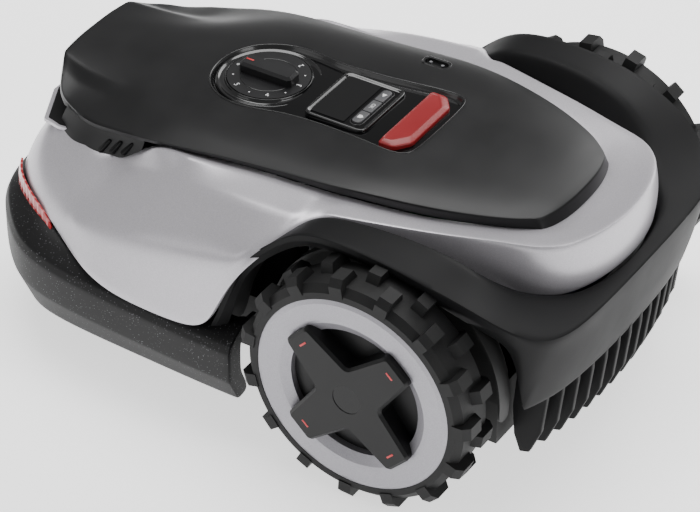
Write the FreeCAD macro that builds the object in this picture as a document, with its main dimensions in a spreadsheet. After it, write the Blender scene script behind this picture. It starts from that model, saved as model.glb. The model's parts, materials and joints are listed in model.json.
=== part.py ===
import FreeCAD, Part
import math
import operator
import os

import Sketcher

# Robotic lawn mower, millimetres.  +Y is the rear, -Y the nose, +X the mower's left, z = 0 the lawn.
# Every driving size is a cell of the spreadsheet; every piece is one labelled object.

SIZES = {
    # overall
    "front_y": -296.0, "rear_y": 296.0, "hood_crown_z": 236.0,
    # drive wheels
    "axle_y": 142.0, "axle_z": 112.0, "axle_radius": 8.0, "tyre_inner_x": 172.0, "tyre_outer_x": 218.5,
    "tread_radius": 104.0, "bead_radius": 92.0, "lug_width": 12.0, "lug_length": 21.0, "lug_count": 15.0,
    "lug_phase": 2.4, "ring_inner_radius": 61.5, "ring_crease_radius": 70.0, "rim_web": 6.0,
    "cap_face_x": 225.0, "cap_arm_radius": 71.0, "cap_arm_half_angle": 12.0, "cap_waist_radius": 31.0,
    "cap_turn": 46.0, "badge_radius": 13.5, "running_fit": 0.05, "gap": 0.5,
    "motor_radius": 30.0, "motor_inner_x": 66.0, "motor_outer_x": 136.5,
    # front casters
    "caster_x": 105.0, "caster_y": -184.0, "caster_radius": 37.5, "caster_width": 24.0, "caster_trail": 18.0,
    "caster_stem_radius": 8.0, "caster_pin_radius": 5.0, "fork_thickness": 4.0, "fork_crown_z": 80.0,
    # chassis
    "floor_z": 48.0, "wall": 3.0, "tub_half": 140.0, "tub_top_z": 104.0, "tub_rear_y": 236.0,
    "shelf_z": 92.0, "shelf_half": 150.0, "shelf_front_y": -262.0,
    # cutting system
    "disc_y": -10.0, "disc_radius": 86.0, "disc_thickness": 3.0, "blade_z": 60.0, "blade_length": 36.0,
    "blade_width": 18.0, "blade_thickness": 0.8, "blade_pivot_radius": 76.0, "well_radius": 122.0,
    "well_top_z": 76.0, "cutter_radius": 34.0, "cutter_height": 72.0,
    "guide_x": 52.0, "guide_radius": 4.0, "spindle_radius": 5.0,
    # front bumper
    "bumper_half": 207.0, "bumper_wall": 4.0, "bumper_low_z": 37.0, "bumper_crease_z": 68.0,
    "bumper_shoulder_z": 100.0, "bumper_top_z": 122.0, "bumper_rear_y": 12.0, "bumper_travel": 6.0,
    # silver body shell
    "shell_low_z": 106.0, "shell_wall": 3.0, "shell_half": 206.0, "band_low_z": 172.0, "seat_z": 213.0,
    # hood
    "hood_wall": 3.0, "hood_half": 130.0, "hood_front_y": -269.0, "hood_rear_y": 236.0,
    # controls
    "dial_y": -80.0, "dial_radius": 37.0, "dial_ring_radius": 45.0, "dial_face_z": 226.0, "dial_top_z": 236.0, "dial_turn": 90.0,
    "button_gap": 0.4, "rain_x": -89.0, "rain_y": 37.0, "rain_radius": 6.0, "rain_half": 7.0, "visor_z": 172.0, "visor_half": 104.0,
    "display_y": 9.0, "display_half": 37.0, "display_depth": 62.0, "key_y": 26.0, "key_pitch": 19.0,
    "key_width": 18.0, "key_depth": 9.0, "stop_y": 72.0, "stop_half": 45.0, "stop_depth": 26.0,
    "panel_z": 229.0,
    # rear guard
    "fender_half": 181.0, "fender_inner_x": 126.0, "fender_thickness": 9.0, "arch_clearance": 4.0,
    "guard_half": 122.0, "guard_low_z": 100.0, "fin_count": 13.0, "fin_pitch": 19.5, "fin_thickness": 5.0,
    "fin_low_z": 30.0, "guard_wall": 4.0,
}

doc = FreeCAD.newDocument("robotic_lawn_mower")
sheet = doc.addObject("Spreadsheet::Sheet", "Sizes")
for row, (alias, value) in enumerate(SIZES.items(), start=1):
    sheet.set(f"A{row}", alias)
    sheet.set(f"B{row}", str(value))
    sheet.setAlias(f"B{row}", alias)
doc.recompute()


class Size:
    """A number that also keeps the spreadsheet expression it comes from."""

    def __init__(self, text, number):
        self.text = text
        self.number = float(number)

    def _with(self, sign, rule, left, right):
        left, right = as_size(left), as_size(right)
        return Size(f"({left.text} {sign} {right.text})", rule(left.number, right.number))

    def __add__(self, other): return self._with("+", operator.add, self, other)
    def __radd__(self, other): return self._with("+", operator.add, other, self)
    def __sub__(self, other): return self._with("-", operator.sub, self, other)
    def __rsub__(self, other): return self._with("-", operator.sub, other, self)
    def __mul__(self, other): return self._with("*", operator.mul, self, other)
    def __rmul__(self, other): return self._with("*", operator.mul, other, self)
    def __truediv__(self, other): return self._with("/", operator.truediv, self, other)
    def __rtruediv__(self, other): return self._with("/", operator.truediv, other, self)
    def __neg__(self): return self * -1
    def __float__(self): return self.number


def as_size(value):
    return value if isinstance(value, Size) else Size(f"({float(value):g})", value)


def root_of(size):
    return Size(f"sqrt({size.text})", math.sqrt(size.number))


class Sheet:
    """Gives each cell of the spreadsheet as a Size: S.axle_y."""

    def __getattr__(self, alias):
        return Size(f"Sizes.{alias}", float(sheet.get(alias)))


S = Sheet()
PIECES = []
SIDES = (("left", 1), ("right", -1))
PLANES = {"XY": "XY_Plane", "XZ": "XZ_Plane", "YZ": "YZ_Plane"}
X_AXIS, Y_AXIS, Z_AXIS = FreeCAD.Vector(1, 0, 0), FreeCAD.Vector(0, 1, 0), FreeCAD.Vector(0, 0, 1)
TURN_TO = {"X": (Y_AXIS, 90), "-X": (Y_AXIS, -90), "Y": (X_AXIS, -90), "-Y": (X_AXIS, 90), "Z": (Z_AXIS, 0)}


def bind(thing, path, size):
    thing.setExpression(path, as_size(size).text)


def place(thing, x=0, y=0, z=0, along="Z"):
    axis, angle = TURN_TO[along]
    thing.Placement = FreeCAD.Placement(FreeCAD.Vector(), FreeCAD.Rotation(axis, angle))
    for letter, size in zip("xyz", (x, y, z)):
        bind(thing, f".Placement.Base.{letter}", size)
    return thing


def box(x0, x1, y0, y1, z0, z1, name="Block"):
    block = doc.addObject("Part::Box", name)
    bind(block, "Length", as_size(x1) - x0)
    bind(block, "Width", as_size(y1) - y0)
    bind(block, "Height", as_size(z1) - z0)
    return place(block, x0, y0, z0)


def rod(radius, length, x, y, z, along="Z", name="Rod"):
    cylinder = doc.addObject("Part::Cylinder", name)
    bind(cylinder, "Radius", radius)
    bind(cylinder, "Height", length)
    return place(cylinder, x, y, z, along)


def fuse(*shapes, name="Joined"):
    joined = doc.addObject("Part::MultiFuse", name)
    joined.Shapes = list(shapes)
    joined.Refine = True
    return joined


def cut(base, *tools, name="Cut"):
    result = doc.addObject("Part::Cut", name)
    result.Base = base
    result.Tool = tools[0] if len(tools) == 1 else fuse(*tools)
    return result


def group(*shapes, name="Group"):
    compound = doc.addObject("Part::Compound", name)
    compound.Links = list(shapes)
    return compound


def piece(thing, label):
    thing.Label = label
    PIECES.append(thing)
    return thing


def new_body(label):
    body = doc.addObject("PartDesign::Body", label)
    return piece(body, label)


def sketch_on(body, plane, x=0, y=0, offset=0, turn=None, turn_axis=Z_AXIS):
    """A sketch on one of the body's own planes, its origin moved to (x, y) and off the plane."""
    sketch = body.newObject("Sketcher::SketchObject", "Sketch")
    support = [f for f in body.Origin.OriginFeatures if f.Role == PLANES[plane]][0]
    sketch.AttachmentSupport = (support, [""])
    sketch.MapMode = "FlatFace"
    if turn is not None:
        sketch.AttachmentOffset = FreeCAD.Placement(FreeCAD.Vector(), FreeCAD.Rotation(turn_axis, 1))
        bind(sketch, ".AttachmentOffset.Rotation.Angle", turn)
    for letter, size in zip("xyz", (x, y, offset)):
        bind(sketch, f".AttachmentOffset.Base.{letter}", size)
    return sketch


def outline(sketch, points):
    """A closed outline of straight runs; each corner is held by two bound distances."""
    points = [(as_size(u), as_size(v)) for u, v in points]
    first = sketch.GeometryCount
    total = len(points)
    for index in range(total):
        (u0, v0), (u1, v1) = points[index], points[(index + 1) % total]
        start, end = FreeCAD.Vector(float(u0), float(v0), 0), FreeCAD.Vector(float(u1), float(v1), 0)
        sketch.addGeometry(Part.LineSegment(start, end), False)
    for index in range(total):
        line, after = first + index, first + (index + 1) % total
        sketch.addConstraint(Sketcher.Constraint("Coincident", line, 2, after, 1))
    for index, corner in enumerate(points):
        for kind, size in zip(("DistanceX", "DistanceY"), corner):
            number = sketch.addConstraint(Sketcher.Constraint(kind, -1, 1, first + index, 1, float(size)))
            bind(sketch, f"Constraints[{number}]", size)
    return sketch


def circle(sketch, radius, x=0, y=0):
    geometry = Part.Circle(FreeCAD.Vector(float(x), float(y), 0), Z_AXIS, float(radius))
    index = sketch.addGeometry(geometry, False)
    for kind, size in (("DistanceX", x), ("DistanceY", y)):
        number = sketch.addConstraint(Sketcher.Constraint(kind, -1, 1, index, 3, float(size)))
        bind(sketch, f"Constraints[{number}]", size)
    number = sketch.addConstraint(Sketcher.Constraint("Radius", index, float(radius)))
    bind(sketch, f"Constraints[{number}]", radius)
    return sketch


def pad(body, sketch, length, both_ways=False, reverse=False):
    feature = body.newObject("PartDesign::Pad", "Pad")
    feature.Profile = sketch
    feature.Midplane = both_ways
    feature.Reversed = reverse
    bind(feature, "Length", length)
    return feature


def pocket(body, sketch, length, reverse=False, both_ways=False):
    feature = body.newObject("PartDesign::Pocket", "Pocket")
    feature.Profile = sketch
    feature.Midplane = both_ways
    feature.Reversed = reverse
    bind(feature, "Length", length)
    return feature


def revolve(body, sketch, axis="H_Axis"):
    feature = body.newObject("PartDesign::Revolution", "Revolution")
    feature.Profile = sketch
    feature.ReferenceAxis = (sketch, [axis])
    feature.Angle = 360
    return feature


def repeat_round(body, features, sketch, axis, count):
    pattern = body.newObject("PartDesign::PolarPattern", "PolarPattern")
    pattern.Originals = features
    pattern.Axis = (sketch, [axis])
    pattern.Angle = 360
    bind(pattern, "Occurrences", count)
    body.Tip = pattern
    return pattern


def dress(body, kind, size, wanted):
    """A fillet or chamfer on the edges of the body's tip that `wanted` picks."""
    doc.recompute()
    base = body.Tip
    names = [f"Edge{n}" for n, edge in enumerate(base.Shape.Edges, start=1) if wanted(edge)]
    feature = body.newObject(f"PartDesign::{kind}", kind)
    feature.Base = (base, names)
    bind(feature, "Radius" if kind == "Fillet" else "Size", size)
    return feature


def edge_runs_along(edge, axis):
    if len(edge.Vertexes) != 2:
        return False
    run = edge.Vertexes[1].Point - edge.Vertexes[0].Point
    return run.Length > 1e-6 and abs(run.normalize().dot(axis)) > 0.999


# ---- Drive wheels -------------------------------------------------------------------------------

def wheel_sketch(body, turn=None):
    """A sketch through the axle: across is x, up is the distance from the axle."""
    return sketch_on(body, "XY", y=S.axle_y, offset=S.axle_z, turn=turn, turn_axis=X_AXIS)


def wheel_profile(body, side, points, turn=None):
    return outline(wheel_sketch(body, turn), [(side * as_size(x), r) for x, r in points])


def wheel_turned(label, side, points):
    body = new_body(label)
    revolve(body, wheel_profile(body, side, points))
    return body


def make_tyre(name, side):
    body = new_body(f"tyre_{name}")
    inner, outer = S.tyre_inner_x, S.tyre_outer_x
    base = wheel_profile(body, side, [
        (inner, S.bead_radius), (inner, S.tread_radius - 5), (inner + 5, S.tread_radius),
        (outer - 7, S.tread_radius), (outer - 1, S.tread_radius - 6), (outer - 1, S.bead_radius)])
    revolve(body, base)
    half = S.lug_width / 2
    tip = root_of(S.axle_z * S.axle_z - half * half)
    rows = (
        (S.lug_phase, [(outer - S.lug_length - 5, S.tread_radius - 2), (outer - S.lug_length, tip),
                       (outer - 5, tip), (outer, tip - 6), (outer, S.bead_radius + 4),
                       (outer - 4, S.bead_radius + 4)]),
        (S.lug_phase + 180 / S.lug_count, [(inner + S.lug_length + 5, S.tread_radius - 2),
                                           (inner + S.lug_length, tip), (inner + 5, tip),
                                           (inner, tip - 6), (inner, S.tread_radius - 8),
                                           (inner + 4, S.tread_radius - 8)]),
    )
    for phase, points in rows:
        lug_sketch = wheel_profile(body, side, points, turn=phase)
        lug = pad(body, lug_sketch, S.lug_width, both_ways=True)
        repeat_round(body, [lug], lug_sketch, "H_Axis", S.lug_count)
    return body


def make_wheel(name, side):
    make_tyre(name, side)
    outer = S.tyre_outer_x
    web_face = outer - 11
    wheel_turned(f"wheel_rim_{name}", side, [
        (S.tyre_inner_x + 2, S.axle_radius), (web_face, S.axle_radius), (web_face, S.bead_radius),
        (S.tyre_inner_x, S.bead_radius), (S.tyre_inner_x, S.bead_radius - 5),
        (web_face - S.rim_web, S.bead_radius - 5), (web_face - S.rim_web, S.axle_radius + 12),
        (S.tyre_inner_x + 2, S.axle_radius + 10)])
    ring = wheel_turned(f"wheel_ring_{name}", side, [
        (web_face, S.ring_inner_radius), (outer - 5, S.ring_inner_radius), (outer - 0.4, S.ring_crease_radius),
        (outer, S.ring_crease_radius + 3), (outer, S.bead_radius - 4), (outer - 1.5, S.bead_radius),
        (web_face, S.bead_radius)])
    make_hub_cap(name, side, web_face, ring)
    axle_start = S.motor_outer_x - 28
    piece(rod(S.axle_radius, web_face - axle_start, side * axle_start, S.axle_y, S.axle_z,
              "X" if side > 0 else "-X"), f"axle_{name}")
    make_gearmotor(name, side, axle_start)


def make_hub_cap(name, side, web_face, ring):
    """A four-armed star whose arm tips are notched over the trim ring."""
    body = doc.addObject("PartDesign::Body", "HubStar")
    star = sketch_on(body, "YZ", x=S.axle_y, y=S.axle_z, offset=side * web_face, turn=side * S.cap_turn)
    corners = []
    for arm in range(4):
        for radius, angle in ((S.cap_arm_radius, -S.cap_arm_half_angle), (S.cap_arm_radius, S.cap_arm_half_angle),
                              (S.cap_waist_radius, as_size(45))):
            whole = angle + 90 * arm
            radians = math.radians(whole.number)
            corners.append((Size(f"({radius.text} * cos({whole.text} * 1 deg))", radius.number * math.cos(radians)),
                            Size(f"({radius.text} * sin({whole.text} * 1 deg))", radius.number * math.sin(radians))))
    outline(star, corners)
    pad(body, star, S.cap_face_x - web_face, reverse=side < 0)
    dress(body, "Fillet", 5, lambda edge: edge_runs_along(edge, X_AXIS))
    dress(body, "Chamfer", 2.5,
          lambda edge: all(abs(abs(v.Point.x) - float(S.cap_face_x)) < 1e-4 for v in edge.Vertexes))
    seat = circle(sketch_on(body, "YZ", x=S.axle_y, y=S.axle_z, offset=side * S.cap_face_x), S.badge_radius)
    pocket(body, seat, 2, reverse=side < 0)
    piece(cut(body, ring), f"hub_cap_{name}")
    piece(rod(S.badge_radius, 1.5, side * (S.cap_face_x - 2), S.axle_y, S.axle_z, "X" if side > 0 else "-X"),
          f"hub_badge_{name}")


def make_gearmotor(name, side, axle_start):
    along = "X" if side > 0 else "-X"
    can = rod(S.motor_radius, S.motor_outer_x - S.motor_inner_x, side * S.motor_inner_x, S.axle_y, S.axle_z, along)
    flange = rod(S.motor_radius + 5, 4, side * (S.motor_outer_x - 4), S.axle_y, S.axle_z, along)
    low, high = (S.motor_inner_x + 8, S.motor_outer_x - 8) if side > 0 else (8 - S.motor_outer_x, -8 - S.motor_inner_x)
    foot = box(low, high, S.axle_y - 20, S.axle_y + 20, S.floor_z + S.wall, S.axle_z - 10)
    bore = rod(S.axle_radius + S.running_fit, 40, side * (axle_start - S.gap), S.axle_y, S.axle_z, along)
    piece(cut(fuse(can, flange, foot), bore), f"gearmotor_{name}")


# ---- Front casters ------------------------------------------------------------------------------

def make_caster(name, side):
    x, wheel_y = side * S.caster_x, S.caster_y + S.caster_trail
    half = S.caster_width / 2
    body = new_body(f"caster_wheel_{name}")
    section = sketch_on(body, "XY", y=wheel_y, offset=S.caster_radius)
    revolve(body, outline(section, [
        (x - half, S.caster_pin_radius + S.running_fit), (x + half, S.caster_pin_radius + S.running_fit),
        (x + half, 14), (x + half - 3, 17), (x + half - 3, S.caster_radius - 12),
        (x + half, S.caster_radius - 9), (x + half - 1, S.caster_radius - 4), (x + half - 5, S.caster_radius),
        (x - half + 5, S.caster_radius), (x - half + 1, S.caster_radius - 4), (x - half, S.caster_radius - 9),
        (x - half + 3, S.caster_radius - 12), (x - half + 3, 17), (x - half, 14)]))
    arm_inner = half + 1
    crown_top = S.fork_crown_z + 6
    crown = rod(arm_inner + S.fork_thickness + 2, 6, x, S.caster_y, S.fork_crown_z)
    stem = rod(S.caster_stem_radius, S.shelf_z + 36 - crown_top, x, S.caster_y, crown_top)
    arms = [fork_arm(x + way * (arm_inner + S.fork_thickness / 2), crown_top, wheel_y) for way in (-1, 1)]
    pin_length = 2 * (arm_inner + S.fork_thickness)
    hole = rod(S.caster_pin_radius, pin_length + 2, x - pin_length / 2 - 1, wheel_y, S.caster_radius, "X")
    piece(cut(fuse(crown, stem, *arms), hole), f"caster_fork_{name}")
    piece(rod(S.caster_pin_radius, pin_length, x - pin_length / 2, wheel_y, S.caster_radius, "X"),
          f"caster_axle_{name}")


def fork_arm(middle_x, crown_top, wheel_y):
    """One cheek of the fork: a raked plate from the crown down round the axle."""
    body = doc.addObject("PartDesign::Body", "ForkArm")
    side_view = sketch_on(body, "YZ", offset=middle_x)
    outline(side_view, [
        (S.caster_y - 13, crown_top), (S.caster_y + 16, crown_top), (wheel_y + 10, S.caster_radius + 4),
        (wheel_y + 7, S.caster_radius - 8), (wheel_y - 7, S.caster_radius - 8), (wheel_y - 12, S.caster_radius + 4)])
    pad(body, side_view, S.fork_thickness, both_ways=True)
    return body


# ---- Chassis ------------------------------------------------------------------------------------

def prism(points, low, high):
    """A bound prism on a symmetric plan outline, given by its right-hand corners."""
    body = doc.addObject("PartDesign::Body", "Prism")
    plan = sketch_on(body, "XY", offset=low)
    outline(plan, points + [(-x, y) for x, y in reversed(points)])
    pad(body, plan, as_size(high) - low)
    return body


def tub_plan(inset):
    front = S.disc_y - S.well_radius - 6
    return [(56, front + inset), (S.tub_half - inset, front + 68 + inset * 0.5), (S.tub_half - inset, S.tub_rear_y - inset)]


def make_chassis():
    """Rear tub, domed well over the cutting disc and a raised front shelf with two caster sockets."""
    floor, wall, shelf_top = S.floor_z, S.wall, S.shelf_z + 4
    deck_front = S.disc_y - S.well_radius - 6
    tub = prism(tub_plan(as_size(0)), floor, S.tub_top_z)
    inside = prism(tub_plan(wall), floor + wall, S.tub_top_z + 1)
    well = rod(S.well_radius + wall, S.well_top_z + wall - floor, 0, S.disc_y, floor)
    well_hollow = rod(S.well_radius, S.well_top_z - floor + 1, 0, S.disc_y, floor - 1)
    motor_hole = rod(S.cutter_radius + 5, 20, 0, S.disc_y, S.well_top_z - 5)
    shelf = prism([(90, S.shelf_front_y), (S.shelf_half - 10, S.shelf_front_y + 37),
                   (S.shelf_half, S.shelf_front_y + 72), (S.shelf_half, deck_front + 60),
                   (S.tub_half - 6, deck_front + 60), (54, deck_front + wall - 1)], S.shelf_z, shelf_top)
    spindle_foot = rod(S.spindle_radius + 5, 11, 0, S.dial_y, S.well_top_z + wall)
    foot_bore = rod(S.spindle_radius + S.running_fit, 12, 0, S.dial_y, S.well_top_z + wall + 3)
    solids, holes = [cut(tub, inside), shelf, well, spindle_foot], [well_hollow, motor_hole, foot_bore]
    for way in (-1, 1):
        solids.append(rod(S.guide_radius + 4, 9, way * S.guide_x, S.disc_y, S.well_top_z + wall))
        holes.append(rod(S.guide_radius, 9, way * S.guide_x, S.disc_y, S.well_top_z + wall))
        socket_low = S.fork_crown_z + 6 + S.gap
        solids.append(rod(S.caster_stem_radius + 7, S.shelf_z + 34 - socket_low, way * S.caster_x, S.caster_y,
                          socket_low))
        holes.append(rod(S.caster_stem_radius + S.running_fit, 60, way * S.caster_x, S.caster_y, S.fork_crown_z))
        solids.append(box(way * 60 - 9, way * 60 + 9, S.shelf_front_y, S.shelf_front_y + 4, S.shelf_z,
                          S.bumper_shoulder_z + 14))
        for post_y in (S.axle_y - 62, S.axle_y + 62):
            solids.append(rod(5, 92, way * 76, post_y, floor + wall))
    piece(cut(fuse(*solids), *holes), "chassis_pan")
    rods = [rod(S.guide_radius, 96, way * S.guide_x, S.disc_y, S.well_top_z + wall) for way in (-1, 1)]
    piece(group(*rods), "lift_guide_rods")


def make_power_and_board():
    floor = S.floor_z + S.wall
    front, rear = S.disc_y + S.well_radius + S.wall + 4, S.tub_rear_y - S.wall - 8
    piece(box(-60, 60, front, rear, floor, floor + 68), "battery_pack")
    board_low = floor + 92
    board = box(-84, 84, S.axle_y - 70, S.axle_y + 70, board_low, board_low + 2)
    chips = [box(x, x + 22, S.axle_y + y, S.axle_y + y + 22, board_low + 2, board_low + 6)
             for x, y in ((-60, -40), (-12, -46), (34, -30), (-40, 12), (20, 20))]
    piece(fuse(board, *chips), "main_board")
    cover = box(-66, 66, front, rear + 2, S.floor_z - 3, S.floor_z)
    piece(cover, "battery_cover")
    heads = [rod(4, 3, way * 128, y, S.floor_z - 3) for way in (-1, 1) for y in (130, 180, 226)]
    piece(group(*heads), "chassis_screws")
    plates = [box(x - 12, x + 12, S.shelf_front_y + 4, S.shelf_front_y + 14, S.shelf_z - 3, S.shelf_z)
              for x in (-30, 30)]
    piece(group(*plates), "charging_contacts")


# ---- Cutting system -----------------------------------------------------------------------------

def make_cutting_system():
    disc_low = S.blade_z + 1
    hub_top = disc_low + S.disc_thickness + 6
    motor_low = hub_top + S.gap
    plate_low = motor_low + S.cutter_height
    motor = rod(S.cutter_radius, S.cutter_height, 0, S.disc_y, motor_low)
    shaft = rod(5, motor_low - disc_low + 10, 0, S.disc_y, disc_low)
    shaft_hole = rod(5 + S.running_fit, 11, 0, S.disc_y, motor_low)
    piece(cut(motor, shaft_hole), "cutting_motor")
    plate = box(-S.guide_x - 12, S.guide_x + 12, S.disc_y - 16, S.disc_y + 16, plate_low, plate_low + 5)
    tongue = box(-14, 14, S.dial_y, S.disc_y, plate_low, plate_low + 5)
    nut = rod(13, 16, 0, S.dial_y, plate_low - 5)
    bushes = [rod(S.guide_radius + 5, 16, way * S.guide_x, S.disc_y, plate_low - 5) for way in (-1, 1)]
    bores = [rod(S.guide_radius + S.running_fit, 40, way * S.guide_x, S.disc_y, plate_low - 15) for way in (-1, 1)]
    screw_bore = rod(S.spindle_radius + S.running_fit, 40, 0, S.dial_y, plate_low - 15)
    piece(cut(fuse(plate, tongue, nut, *bushes), screw_bore, *bores), "lift_carrier")
    spindle_low = S.well_top_z + S.wall + 4
    piece(rod(S.spindle_radius, S.dial_face_z - 6 - spindle_low, 0, S.dial_y, spindle_low), "height_spindle")

    body = new_body("cutting_disc")
    face = circle(sketch_on(body, "XY", y=S.disc_y, offset=disc_low), S.disc_radius)
    for number in range(3):
        pivot = math.radians(90 + 120 * number)
        circle(face, 3, S.blade_pivot_radius * math.cos(pivot), S.blade_pivot_radius * math.sin(pivot))
    circle(face, 5)
    pad(body, face, S.disc_thickness)
    boss = circle(sketch_on(body, "XY", y=S.disc_y, offset=disc_low), 24)
    circle(boss, 5)
    pad(body, boss, S.disc_thickness + 6)
    slot = circle(sketch_on(body, "XY", y=S.disc_y, offset=disc_low - 1), 9, 0, 46)
    window = pocket(body, slot, 12, reverse=True)
    repeat_round(body, [window], slot, "N_Axis", 6)
    piece(shaft, "cutting_shaft")

    screws = []
    for number in range(3):
        angle = math.radians(90 + 120 * number)
        across, along = math.cos(angle), math.sin(angle)
        pivot_x, pivot_y = S.blade_pivot_radius * across, S.disc_y + S.blade_pivot_radius * along
        make_blade(number + 1, pivot_x, pivot_y, 120 * number, disc_low)
        screws.append(fuse(rod(3, disc_low + S.disc_thickness - S.blade_z + 3, pivot_x, pivot_y, S.blade_z - 3),
                           rod(5.5, 2, pivot_x, pivot_y, S.blade_z - 3.4)))
    piece(group(*screws), "blade_screws")


def make_blade(number, pivot_x, pivot_y, angle, disc_low):
    """A thin two-edged knife hanging under the disc's edge on its shoulder screw."""
    body = new_body(f"blade_{number}")
    plan = sketch_on(body, "XY", x=pivot_x, y=pivot_y, offset=S.blade_z - S.blade_thickness / 2, turn=angle)
    half, reach = S.blade_width / 2, S.blade_length - 8
    outline(plan, [(-half, -5), (3 - half, -8), (half - 3, -8), (half, -5), (half, reach - 3), (half - 3, reach),
                   (3 - half, reach), (-half, reach - 3)])
    circle(plan, 3.1)
    pad(body, plan, S.blade_thickness)


# ---- Lofted shells ------------------------------------------------------------------------------

def mirrored(points):
    """Closes a list of right-hand (x, z) corners with their reflections."""
    return points + [(-x, z) for x, z in reversed(points)]


def loft(stations):
    """A closed solid through closed outlines, one at each y."""
    wires = []
    for y, points in stations:
        corners = [FreeCAD.Vector(float(x), float(y), float(z)) for x, z in points]
        wires.append(Part.makePolygon(corners + corners[:1]))
    return Part.makeLoft(wires, True, True)


def upright(points, low, high):
    """A prism on a plan outline of (x, y) corners."""
    corners = [FreeCAD.Vector(float(x), float(y), float(low)) for x, y in points]
    face = Part.Face(Part.makePolygon(corners + corners[:1]))
    return face.extrude(FreeCAD.Vector(0, 0, float(high) - float(low)))


def block(x0, x1, y0, y1, z0, z1):
    size = [float(b) - float(a) for a, b in ((x0, x1), (y0, y1), (z0, z1))]
    return Part.makeBox(*size, FreeCAD.Vector(float(x0), float(y0), float(z0)))


def drum(radius, height, x, y, z, axis=Z_AXIS):
    return Part.makeCylinder(float(radius), float(height), FreeCAD.Vector(float(x), float(y), float(z)), axis)


def feature(label, shape):
    thing = doc.addObject("Part::Feature", label)
    thing.Shape = shape
    thing.Placement = FreeCAD.Placement()
    return piece(thing, label)


def bumper_plan(inset):
    """Right-hand side of the bumper's outline, from the skirt's rear end round to the nose."""
    half, front = S.bumper_half - inset, S.front_y + inset
    return [(half, S.bumper_rear_y), (half - 2, S.caster_y + 20), (half - 15, S.caster_y - 31),
            (half - 50, front + 39), (half - 86, front + 12), (half - 140, front)]


def bumper_solid(inset):
    """The bumper's outside as one block: bevelled skirt, upright face and a shoulder leaning in."""
    levels = ((S.bumper_low_z, 12), (S.bumper_crease_z, 0), (S.bumper_shoulder_z, 2), (S.bumper_top_z, 20))
    wires = []
    for z, lean in levels:
        plan = bumper_plan(as_size(lean) + inset)
        ring = plan + [(-x, y) for x, y in reversed(plan)]
        corners = [FreeCAD.Vector(float(x), float(y), float(z)) for x, y in ring]
        wires.append(Part.makePolygon(corners + corners[:1]))
    return Part.makeLoft(wires, True, True)


def make_bumper():
    """A hoop round the nose with two arms that meet the shelf's stops."""
    wall = S.bumper_wall
    low, high = float(S.bumper_low_z), float(S.bumper_top_z)
    opening = block(-400, 400, S.bumper_rear_y - 1, S.bumper_rear_y + 100, low - 1, high + 1)
    shape = bumper_solid(0).cut(bumper_solid(wall)).cut(opening)
    pins = []
    for way in (-1, 1):
        arm = block(way * 60 - 9, way * 60 + 9, S.front_y + wall - 1, S.shelf_front_y - 8 - S.bumper_travel,
                    S.bumper_shoulder_z + 4, S.bumper_shoulder_z + 12)
        pins.append(arm)
    feature("front_bumper", shape.fuse(pins).removeSplitter())
    buffers = [rod(4, 7, way * 60, S.shelf_front_y - 8 - S.bumper_travel, S.bumper_shoulder_z + 8, "Y")
               for way in (-1, 1)]
    piece(group(*buffers), "bumper_buffers")


def shell_stations():
    """Right-hand corners of the silver shell: low edge, waist crease, shoulder crease, hood edge."""
    half, low, seat, skirt = S.shell_half, S.shell_low_z, S.seat_z, S.bumper_top_z
    side = [
        (S.front_y + 24, [(half - 102, skirt + 10), (half - 108, skirt + 28), (half - 122, skirt + 40), (half - 146, skirt + 44)]),
        (S.front_y + 56, [(half - 64, skirt + 8), (half - 66, skirt + 26), (half - 78, skirt + 40), (half - 94, skirt + 48)]),
        (S.caster_y + 10, [(half - 19, skirt + 1), (half - 32, skirt + 17), (half - 80, skirt + 47), (half - 88, skirt + 54)]),
        (S.dial_y, [(half - 1, low), (half - 16, low + 61), (half - 65, seat - 15), (half - 86, seat + 1)]),
        (S.bumper_rear_y, [(half, low + 2), (half - 15, low + 78), (half - 57, seat - 2), (half - 94, seat + 1)]),
    ]
    band = S.band_low_z
    rear = [
        (S.bumper_rear_y, [(138, band), (138, band + 16), (138, seat - 4), (half - 94, seat + 1)]),
        (S.axle_y - 68, [(132, band), (135, band + 16), (134, seat + 3), (108, seat + 6)]),
        (S.axle_y, [(118, band), (122, band + 16), (121, seat + 6), (94, seat + 7)]),
        (S.axle_y + 68, [(98, band), (102, band + 16), (99, seat + 8), (72, seat + 7)]),
        (S.rear_y - 40, [(80, band + 2), (82, band + 12), (75, seat + 10), (54, seat + 7)]),
        (S.rear_y - 26, [(50, band + 3), (52, band + 12), (48, seat + 10), (32, seat + 7)]),
        (S.rear_y - 18, [(18, band + 4), (20, band + 12), (18, seat + 10), (8, seat + 7)]),
    ]
    return side, rear


def make_body_shell():
    wall, under = S.shell_wall, 8
    shapes = []
    front_stations, rear_stations = shell_stations()
    for stations in (front_stations, rear_stations):
        outer = loft([(y, mirrored(points)) for y, points in stations])
        inward = wall if stations is rear_stations else -wall
        hollow = loft([(y - inward, mirrored([(x - wall, z - (wall if corner else under))
                                              for corner, (x, z) in enumerate(points)])) for y, points in stations])
        shapes.append((outer, hollow))
    front, rear = shapes
    shell = front[0].fuse(rear[0])
    shell = shell.cut(front[1]).cut(rear[1])
    shell = shell.cut(block(wall - 138, 138 - wall, S.bumper_rear_y - wall - 1, S.bumper_rear_y + 1, 0, S.seat_z - 6))
    top_hole = upright(hood_plan(12), S.seat_z - 60, S.seat_z + 30)
    vent_room = block(-111, 111, S.front_y, S.caster_y + 34, S.seat_z - 66, S.seat_z + 30)
    shell = shell.cut(top_hole).cut(vent_room)
    for pushed in (0, S.bumper_travel):
        swept = bumper_solid(-S.gap)
        swept.translate(FreeCAD.Vector(0, float(pushed), 0))
        shell = shell.cut(swept)
    for way in (-1, 1):
        shell = shell.cut(reflector(way, S.gap))
    solids = sorted(shell.Solids, key=lambda solid: solid.Volume)
    feature("body_shell", solids[-1])


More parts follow.
